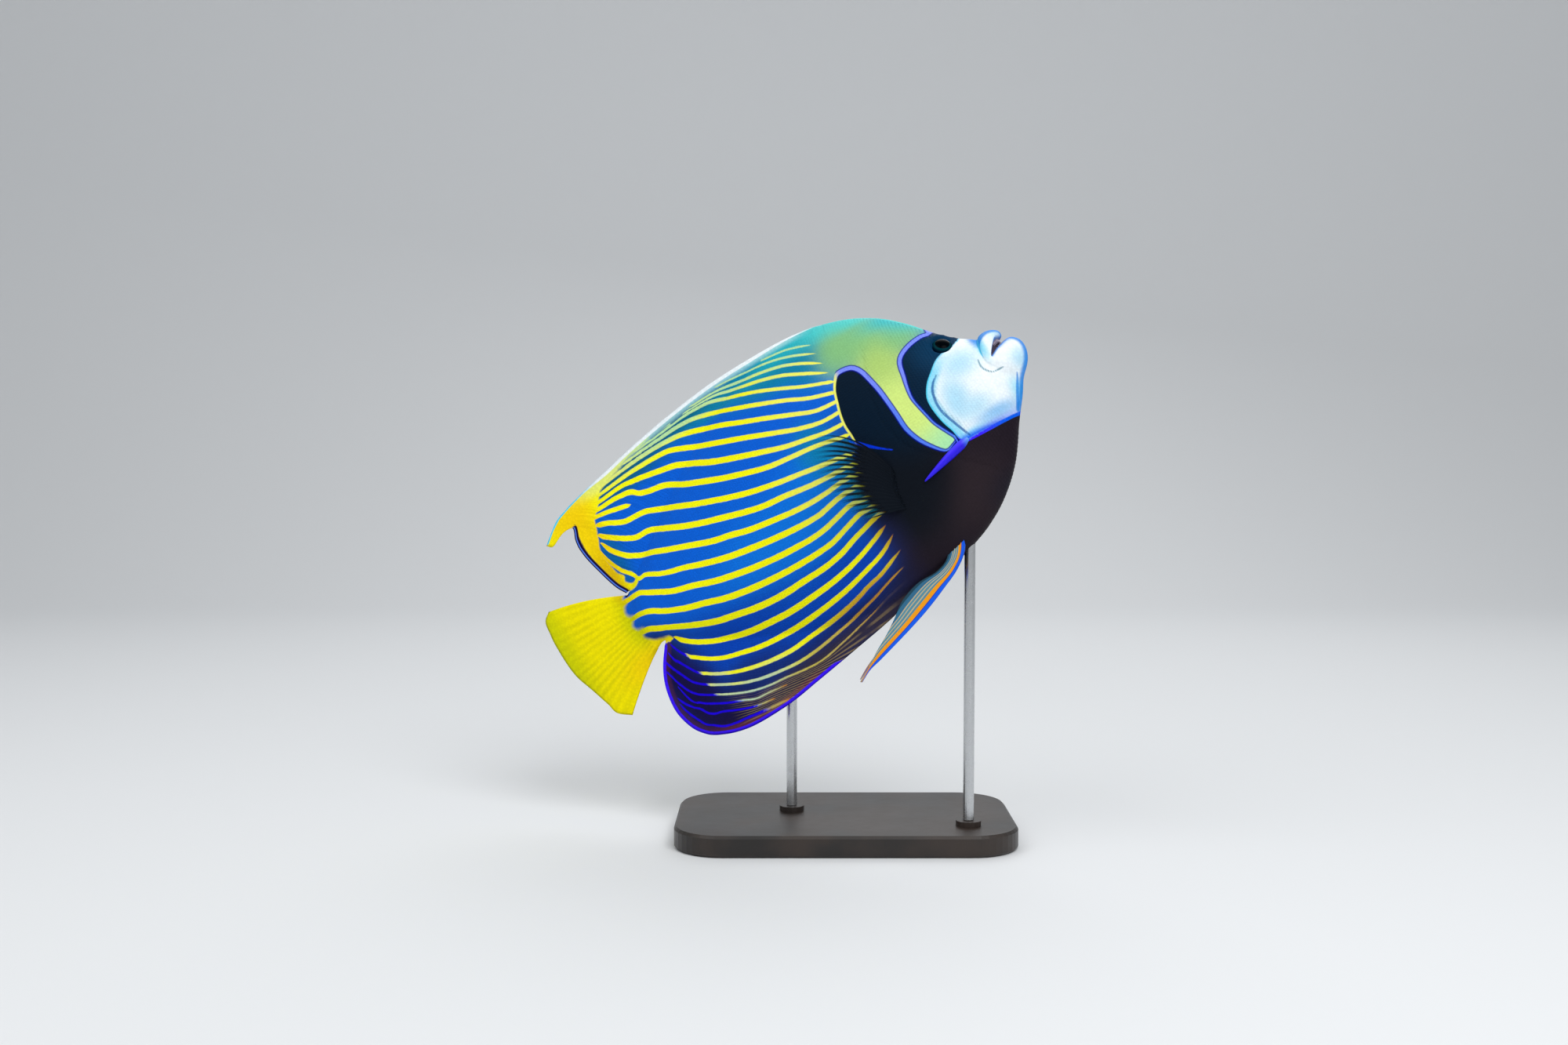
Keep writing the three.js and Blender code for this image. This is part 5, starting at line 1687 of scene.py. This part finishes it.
@dataclass
class Eye:
    """Eyeball with its iris and pupil."""

    fish: Fish
    side: Side
    radius: float = 5.9
    depth: float = 3.9
    proud: float = 1.2

    def build(self, material: Material) -> Object:
        """Makes the eyeball and paints it by the distance from its axis.

        Args:
            material: its finish.

        Returns:
            The piece.
        """
        point, normal = self.fish.spot(*EYE_AT, self.side)
        bm = bmesh.new()
        bmesh.ops.create_uvsphere(bm, u_segments=48, v_segments=32, radius=self.radius)
        bmesh.ops.scale(bm, verts=bm.verts, vec=(1, 1, self.depth / self.radius))
        turn = Vector((0, 0, 1)).rotation_difference(normal).to_matrix().to_4x4()
        centre = point + normal * (self.proud - self.depth)
        bmesh.ops.transform(bm, matrix=Matrix.Translation(centre) @ turn, verts=bm.verts)

        def paint(mesh: Mesh, co: Array) -> None:
            """Stores the distance from the axis of the eye."""
            away = np.cross(co - np.array(centre), np.array(normal))
            write_value(mesh, "radial", np.linalg.norm(away, axis=1))

        return self.fish.finish(bm, f"eyeball_{self.side.word}", "eye_glaze", [f"eye_{self.side.word}"],
                                material, paint)


@dataclass(frozen=True)
class EyeFinish:
    """Glossy dark eye with a faint ring."""

    name: str = "eye_wet"

    def make(self) -> Material:
        """Builds the material.

        Returns:
            The material.
        """
        material, w, shader = bare_material(self.name)
        radial = w.value("radial")
        pupil = w.step(radial, 4.2, 3.7)
        ring = w.times(w.step(radial, 3.8, 4.3), w.step(radial, 5.4, 4.6))
        colour = w.blend(ring, Tint.NAVY.rgba, Tint.IRIS.rgba)
        w.feed(shader, {"Base Color": w.blend(pupil, colour, Tint.PUPIL.rgba), "Roughness": 0.2,
                        "Specular IOR Level": 0.018})
        return material


@dataclass(frozen=True)
class SpineFinish:
    """Enamel that runs from pale blue at the root to violet at the tip, paler on top as a painted
    highlight and deeper violet underneath as painted shade.
    """

    name: str = "spine_enamel"

    def make(self) -> Material:
        """Builds the material.

        Returns:
            The material.
        """
        material, w, shader = bare_material(self.name)
        way = w.value("way")
        over = w.value("over")
        # Deeper violet under the spine's middle and paler on top: painted shade and painted highlight.
        violet = w.blend(w.step(over, -0.5, 0.6), Tint.VIOLET_DEEP.rgba, Tint.VIOLET.rgba)
        violet = w.blend(w.times(w.step(over, 0.3, 0.9), 0.5), violet, Tint.CORNFLOWER.rgba)
        colour = w.blend(w.step(way, 0.0, 0.22), Tint.SKY.rgba, violet)
        rough = w.math("MULTIPLY_ADD", w.noise(200), 0.15, 0.35)
        w.feed(shader, {"Base Color": colour, "Roughness": rough, "Specular IOR Level": 0.35})
        return material


@dataclass
class CheekSpine:
    """Long spine at the lower corner of the cheek."""

    fish: Fish
    side: Side
    base: tuple[float, float] = (46, -30.8)
    tip: tuple[float, float] = (80.2, -38)
    radius: float = 3.6
    root: float = 0.25
    point: float = 0.3
    rise: float = 2
    sunk: float = 2.6
    sides: int = 20
    lengths: int = 30

    def build(self, material: Material) -> Object:
        """Extrudes a ring along the spine and closes it to a point.

        Args:
            material: its finish.

        Returns:
            The piece.
        """
        path, radii = [], []
        for i in range(self.lengths + 1):
            t = i / self.lengths
            s = self.base[0] + (self.tip[0] - self.base[0]) * t
            z = self.base[1] + (self.tip[1] - self.base[1]) * t
            point, normal = self.fish.spot(s, z, self.side)
            path.append(point + normal * (self.rise * t - self.sunk * (1 - t)))
            swell = 0.55 + 0.45 * float(smooth(t, 0, self.root))
            radii.append(self.point + (self.radius - self.point) * swell * (1 - t) ** 0.75)
        bm = bmesh.new()
        sweep(bm, path, radii, self.sides)

        def paint(mesh: Mesh, co: Array) -> None:
            """Stores the share of the way to the tip and the height over the spine's middle.

            Args:
                mesh: the mesh.
                co: (x, y, z) of its vertices.
            """
            way = (-co[:, 0] - self.base[0]) / (self.tip[0] - self.base[0])
            middle = self.base[1] + (self.tip[1] - self.base[1]) * way
            write_value(mesh, "way", way)
            write_value(mesh, "over", (co[:, 2] - middle) / self.radius)

        return self.fish.finish(bm, f"spine_{self.side.word}", "spine_enamel",
                                [f"cheek_spine_{self.side.word}"], material, paint)


def sweep(bm: BMesh, path: Sequence[Vector], radii: Sequence[float], sides: int) -> None:
    """Sweeps a ring along a path and caps both ends.

    Args:
        bm: takes the shape.
        path: centres of the rings.
        radii: radius at each centre.
        sides: sides of the ring.
    """
    made = bmesh.ops.create_circle(bm, cap_ends=False, radius=1, segments=sides)["verts"]
    flat = [v.co.copy() for v in made]
    edges = list({e for v in made for e in v.link_edges})
    ring = made
    for i, centre in enumerate(path):
        along = path[min(i + 1, len(path) - 1)] - path[max(i - 1, 0)]
        turn = Vector((0, 0, 1)).rotation_difference(along.normalized()).to_matrix()
        if i:
            grown = bmesh.ops.extrude_edge_only(bm, edges=edges)["geom"]
            fresh = [g for g in grown if isinstance(g, bmesh.types.BMVert)]
            edges = [g for g in grown if isinstance(g, bmesh.types.BMEdge)]
            order = {v.co.copy().freeze(): k for k, v in enumerate(ring)}
            ring = sorted(fresh, key=lambda v: order[v.co.copy().freeze()])
        for vert, unit in zip(ring, flat):
            vert.co = centre + turn @ (unit * radii[i])
    bmesh.ops.holes_fill(bm, edges=[e for e in bm.edges if e.is_boundary], sides=0)
    bmesh.ops.recalc_face_normals(bm, faces=bm.faces)


@dataclass
class FanFin:
    """Paired fin made as a thin sheet between two faces, with ribs along its rays."""

    fish: Fish
    side: Side
    name: str
    slot: str
    place: Callable[[float, float], Triple]
    rays: int
    half: tuple[float, float]
    ridge: float
    across: int = 8
    along: int = 40

    def build(self, material: Material) -> Object:
        """Makes the fin and stores its ray phase and its share of the way to the margin.

        Args:
            material: its finish.

        Returns:
            The piece.
        """
        columns = (self.rays - 1) * self.across + 1
        middle = np.zeros((columns, self.along + 1, 3))
        for i in range(columns):
            for j in range(self.along + 1):
                s, z, out = self.place(i / (columns - 1), j / self.along)
                middle[i, j] = (-s, self.side.value * out, z)
        normal = np.cross(np.gradient(middle, axis=0), np.gradient(middle, axis=1))
        normal /= np.maximum(np.linalg.norm(normal, axis=-1, keepdims=True), 1e-9)
        u = np.linspace(0, self.rays - 1, columns)[:, None]
        v = np.linspace(0, 1, self.along + 1)[None]
        body = self.half[1] + (self.half[0] - self.half[1]) * (1 - v) ** 3
        rib = self.ridge * np.maximum(np.cos(FULL_TURN * u), 0) ** 2 * (1 - 0.6 * v)
        thick = (body + rib) * np.sqrt(smooth(1 - v, -0.002, 0.03)) + 0.02
        bm = bmesh.new()
        ray = bm.verts.layers.float.new("ray_number")
        share = bm.verts.layers.float.new("way")
        for face in (1, -1):
            made = bmesh.ops.create_grid(bm, x_segments=columns - 1, y_segments=self.along, size=1)
            for vert in made["verts"]:
                i = round((vert.co.x + 1) / 2 * (columns - 1))
                j = round((vert.co.y + 1) / 2 * self.along)
                vert[ray], vert[share] = float(u[i, 0]), float(v[0, j])
                vert.co = middle[i, j] + face * normal[i, j] * thick[i, j]
        bmesh.ops.bridge_loops(bm, edges=[e for e in bm.edges if e.is_boundary])
        bmesh.ops.recalc_face_normals(bm, faces=bm.faces)
        node = f"{self.name}_fin_{self.side.word}"
        return self.fish.finish(bm, f"{self.name}_{self.side.word}", self.slot, [node], material)


PECTORAL_ROOT = Curve([[0, 91.5, -31, 23.5], [1, 95, -45, 20.5]])
PECTORAL_MARGIN = Curve([
    [0, 116, 13, 52], [0.2, 123.4, 3.7, 55], [0.4, 126, -6, 56], [0.6, 125, -16.5, 55],
    [0.8, 122.5, -28, 52], [0.92, 119.5, -36, 47], [1, 116, -41, 42]])
PECTORAL_BEND = Curve([
    [0, -15, 12, 0], [0.35, -10, 14, 0], [0.6, -3, 11, 0], [0.8, 0.5, 5, 0], [1, 1, 2, 0]])


def pectoral_place(u: float, v: float) -> Triple:
    """Place on the pectoral fin as s, z and distance from the midplane.

    Args:
        u: share of the way across the rays.
        v: share of the way out to the margin.

    Returns:
        The place.
    """
    root, margin, bend = [[float(line(u, c)) for c in (1, 2, 3)]
                          for line in (PECTORAL_ROOT, PECTORAL_MARGIN, PECTORAL_BEND)]
    at = [a + (b - a) * v + 2 * v * (1 - v) * c for a, b, c in zip(root, margin, bend)]
    return at[0], at[1], at[2]


PELVIC_FOLD = (0.5, 4, 3.8)
PELVIC_EDGES = (
    Curve([[0, 80, -69, 6], [0.07, 84.3, -76.6, 7.5], [0.2, 94.4, -84.6, 8],
           [0.32, 106.6, -89.3, 8], [0.47, 120.6, -93.9, 8], [0.6, 132.7, -97, 8],
           [0.72, 145.5, -99.8, 8], [0.85, 158.3, -102.4, 8], [0.93, 166.3, -103.9, 8],
           [1, 173.3, -107, 8]]),
    Curve([[0, 90, -69, 6], [0.07, 94, -75.5, 7.5], [0.2, 104, -79.6, 8.4], [0.32, 116, -79, 8.6],
           [0.47, 129.8, -82.4, 8.2], [0.6, 138.5, -87.8, 8], [0.72, 147, -92.6, 8],
           [0.85, 157.5, -97.6, 8], [0.93, 165.9, -102, 8], [1, 174.2, -106.2, 8]]))


def pelvic_place(u: float, v: float) -> Triple:
    """Place on the spread right pelvic fin as s, z and distance from the midplane.

    Args:
        u: share of the way across the rays.
        v: share of the way out to the margin.

    Returns:
        The place.
    """
    a, b = [[float(edge(v, c)) for c in (1, 2, 3)] for edge in PELVIC_EDGES]
    at = [p + (q - p) * u for p, q in zip(a, b)]
    return at[0], at[1], at[2]


def folded_place(u: float, v: float) -> Triple:
    """Place on the left pelvic fin, which is half folded behind the right one.

    Args:
        u: share of the way across the rays.
        v: share of the way out to the margin.

    Returns:
        The place, as s, z and distance from the midplane.
    """
    width, back, up = PELVIC_FOLD
    s, z, out = pelvic_place(u * width, v)
    return s + back, z + up, out


@dataclass(frozen=True)
class ClearFinFinish:
    """Clear membrane between dark forked rays, black at the root."""

    name: str = "pectoral_film"
    fork_at: float = 0.55
    fork: float = 0.5

    def make(self) -> Material:
        """Builds the material.

        Returns:
            The material.
        """
        material, w, shader = bare_material(self.name)
        number = w.value("ray_number")
        way = w.value("way")
        split = w.times(w.math("MAXIMUM", w.minus(way, self.fork_at), 0.0), self.fork)
        off = w.away(w.away(number, w.math("ROUND", number)), split)
        width = w.math("MULTIPLY_ADD", w.step(way, 0.42, 0.85), -0.28, 0.42)
        ray = w.step(off, width, w.times(width, 0.4))
        dark = w.blend(w.step(way, 0.5, 0.64), Tint.COAL.rgba, Tint.SEA.rgba)
        thin = w.math("MULTIPLY_ADD", w.step(way, 0.38, 0.58), -0.88, 1.0)
        thin = w.times(thin, w.step(way, 1.0, 0.7))
        bold = w.step(way, 0.95, 0.55)
        cover = w.plus(w.times(thin, w.minus(1.0, ray)), w.times(bold, ray))
        rough = w.math("MULTIPLY_ADD", ray, 0.1, 0.6)
        w.feed(shader, {"Base Color": w.blend(ray, dark, Tint.COAL.rgba), "Roughness": rough,
                        "Alpha": w.times(cover, w.step(way, 0.0, 0.16)), "Specular IOR Level": 0.04})
        return material


@dataclass(frozen=True)
class PelvicFinish:
    """Blue leading edge, orange band and slate and sand stripes along the rays."""

    name: str = "pelvic_paint"
    closing: float = 0.55

    def make(self) -> Material:
        """Builds the material.

        Returns:
            The material.
        """
        material, w, shader = bare_material(self.name)
        way = w.value("way")
        widen = w.math("MULTIPLY_ADD", w.step(way, 0.4, 0.95), -self.closing, 1.0)
        number = w.times(w.value("ray_number"), widen)
        colour: object = Tint.BRIGHT_BLUE.rgba
        bands = ((0.74, Tint.INK_BLUE), (0.88, Tint.ORANGE), (1.75, Tint.SLATE), (2.15, Tint.SAND),
                 (2.4, Tint.SLATE), (2.85, Tint.SAND), (3.05, Tint.SLATE), (3.45, Tint.SAND),
                 (3.65, Tint.SLATE_BLUE), (4.45, Tint.FIN_DARK))
        for start, tint in bands:
            colour = w.blend(w.step(number, start - 0.07, start + 0.07), colour, tint.rgba)
        fade = w.times(w.step(way, 0.9, 1.0), 0.5)
        rough = w.math("MULTIPLY_ADD", w.noise(200), 0.2, 0.35)
        w.feed(shader, {"Base Color": w.blend(fade, colour, Tint.SAND.rgba), "Roughness": rough,
                        "Specular IOR Level": 0.25})
        return material


@dataclass
class Teeth:
    """Fine close teeth of one jaw, along an arc inside the lip."""

    fish: Fish
    name: str
    middle: Triple
    corner: Triple
    point: float
    count: int = 15
    length: float = 2.2
    radius: float = 0.42

    def build(self, material: Material) -> Object:
        """Sets cones side by side from one corner of the mouth to the other.

        Args:
            material: their finish.

        Returns:
            The piece.
        """
        bm = bmesh.new()
        for k in range(self.count):
            across = 2 * k / (self.count - 1) - 1
            bend = 1 - math.cos(across * math.pi / 2)
            s = self.middle[0] + (self.corner[0] - self.middle[0]) * bend
            z = self.middle[2] + (self.corner[2] - self.middle[2]) * bend
            y = self.corner[1] * math.sin(across * math.pi / 2)
            turn = Matrix.Rotation(math.pi if self.point < 0 else 0, 4, "X")
            at = Matrix.Translation((-s, y, z + self.point * self.length / 2))
            bmesh.ops.create_cone(bm, cap_ends=True, segments=8, radius1=self.radius, radius2=0.08,
                                  depth=self.length, matrix=at @ turn)
        bmesh.ops.recalc_face_normals(bm, faces=bm.faces)
        return self.fish.finish(bm, self.name, "lip_skin", [], material)


@dataclass
class Stand:
    """Ebonised base and steel rods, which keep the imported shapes."""

    def dress(self) -> None:
        """Gives the stand's nodes their finishes."""
        wood = PlainFinish("stand_wood", Tint.EBONY, Tint.EBONY_GRAIN, 0.38, 0, 30, 0.2).make()
        steel = PlainFinish("stand_steel", Tint.STEEL, Tint.STEEL, 0.26, 1.0, 120, 0.05).make()
        for name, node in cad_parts.items():
            if name.startswith("stand_"):
                node.data.materials.clear()
                node.data.materials.append(wood if name == "stand_base" else steel)
                LOG.info("%s dressed", name)


@dataclass
class Studio:
    """Pale floor with a curved backdrop, soft lights and the camera."""

    lens: float = 38
    sensor: float = 36
    elevation: float = 3
    eye_point: Triple = (-2.22, -936.86, 226.55)
    floor: float = 3.0
    turn: float = 1.2
    bow: float = 0.8

    def build(self) -> None:
        """Makes the floor, the lights and the camera."""
        self.backdrop()
        self.light("key", (0.45, -0.9, 1.2), 0.9, 11)
        self.light("fill", (-0.8, -0.6, 1.3), 1.2, 5)
        self.light("back", (0.2, 1.0, 1.3), 1.4, 7)
        self.world(0.6)
        camera = bpy.data.cameras.new("camera")
        camera.lens, camera.sensor_width = self.lens, self.sensor
        camera.clip_start = 0.01
        holder = bpy.data.objects.new("camera", camera)
        holder.location = [x * MM for x in self.eye_point]
        holder.rotation_euler = (math.radians(90 - self.elevation), 0, 0)
        bpy.context.scene.collection.objects.link(holder)
        bpy.context.scene.camera = holder
        bpy.context.scene.view_settings.view_transform = "Standard"

    def backdrop(self) -> None:
        """Extrudes a floor that curves up behind the model."""
        bm = bmesh.new()
        steps = 24
        verts = [bm.verts.new((-self.floor, -self.floor, 0))]
        for i in range(steps + 1):
            a = math.radians(90 * i / steps)
            back, up = self.turn + self.bow * math.sin(a), self.bow - self.bow * math.cos(a)
            verts.append(bm.verts.new((-self.floor, back, up)))
        verts.append(bm.verts.new((-self.floor, self.turn + self.bow, self.floor)))
        edges = [bm.edges.new(pair) for pair in zip(verts, verts[1:])]
        grown = bmesh.ops.extrude_edge_only(bm, edges=edges)["geom"]
        fresh = [g for g in grown if isinstance(g, bmesh.types.BMVert)]
        bmesh.ops.translate(bm, verts=fresh, vec=(2 * self.floor, 0, 0))
        bmesh.ops.recalc_face_normals(bm, faces=bm.faces)
        mesh = bpy.data.meshes.new("floor")
        bm.to_mesh(mesh)
        bm.free()
        mesh.shade_smooth()
        paper = PlainFinish("studio_paper", Tint.PAPER, Tint.PAPER, 0.9, 0, 4, 0.02)
        mesh.materials.append(paper.make())
        floor = bpy.data.objects.new("floor", mesh)
        bpy.context.scene.collection.objects.link(floor)

    def light(self, name: str, at: Triple, size: float, power: float) -> None:
        """Adds a soft lamp that faces the fish.

        Args:
            name: its name.
            at: where it stands, in metres.
            size: its width, in metres.
            power: its strength, in watts.
        """
        lamp = bpy.data.lights.new(name, "AREA")
        lamp.shape, lamp.size, lamp.energy = "DISK", size, power
        holder = bpy.data.objects.new(name, lamp)
        holder.location = at
        aim = Vector((0, 0, 0.18)) - Vector(at)
        holder.rotation_euler = aim.to_track_quat("-Z", "Y").to_euler()
        bpy.context.scene.collection.objects.link(holder)

    def world(self, strength: float) -> None:
        """Plain even light from all round.

        Args:
            strength: how bright it is.
        """
        world = bpy.data.worlds.new("studio")
        world.use_nodes = True
        back = world.node_tree.nodes["Background"]
        back.inputs["Color"].default_value = Tint.PAPER.rgba
        back.inputs["Strength"].default_value = strength
        bpy.context.scene.world = world


def main() -> None:
    """Builds the whole scene."""
    logging.basicConfig(level=logging.INFO, format="%(name)s %(message)s")
    Studio().build()
    fish = Fish()
    paint = MarkingsPaint().build()
    skin = Skin(fish)
    grid, place, normal = skin.shape()
    skin.build(SkinFinish().make(paint), grid, place)
    scales = Scales(fish)
    finish = SkinFinish("scale_paint", bump=0.05, tone=0.06).make(paint)
    scales.build(finish, scales.sites(grid, place, normal))
    ivory = PlainFinish("tooth_ivory", Tint.TOOTH, Tint.GUM, 0.3, 0, 400).make()
    Teeth(fish, "teeth_upper", (7.4, 0, 8.4), (10.6, 5, 7.4), -1).build(ivory)
    Teeth(fish, "teeth_lower", (4.4, 0, 3.6), (10.2, 5.6, 1.8), 1).build(ivory)
    finishes = (EyeFinish(), SpineFinish(), ClearFinFinish(), PelvicFinish())
    eye, spine, clear, painted = (finish.make() for finish in finishes)
    for side in Side:
        Eye(fish, side).build(eye)
        CheekSpine(fish, side).build(spine)
        fan = FanFin(fish, side, "pectoral", "clear_membrane", pectoral_place, 18, (1.2, 0.2), 0.25)
        fan.build(clear)
        hang = pelvic_place if side is Side.RIGHT else folded_place
        pelvic = FanFin(fish, side, "pelvic", "pelvic_membrane", hang, 6, (1.5, 0.3), 0.3, 12, 60)
        pelvic.build(painted)
    Stand().dress()


if __name__ == "__main__":
    main()
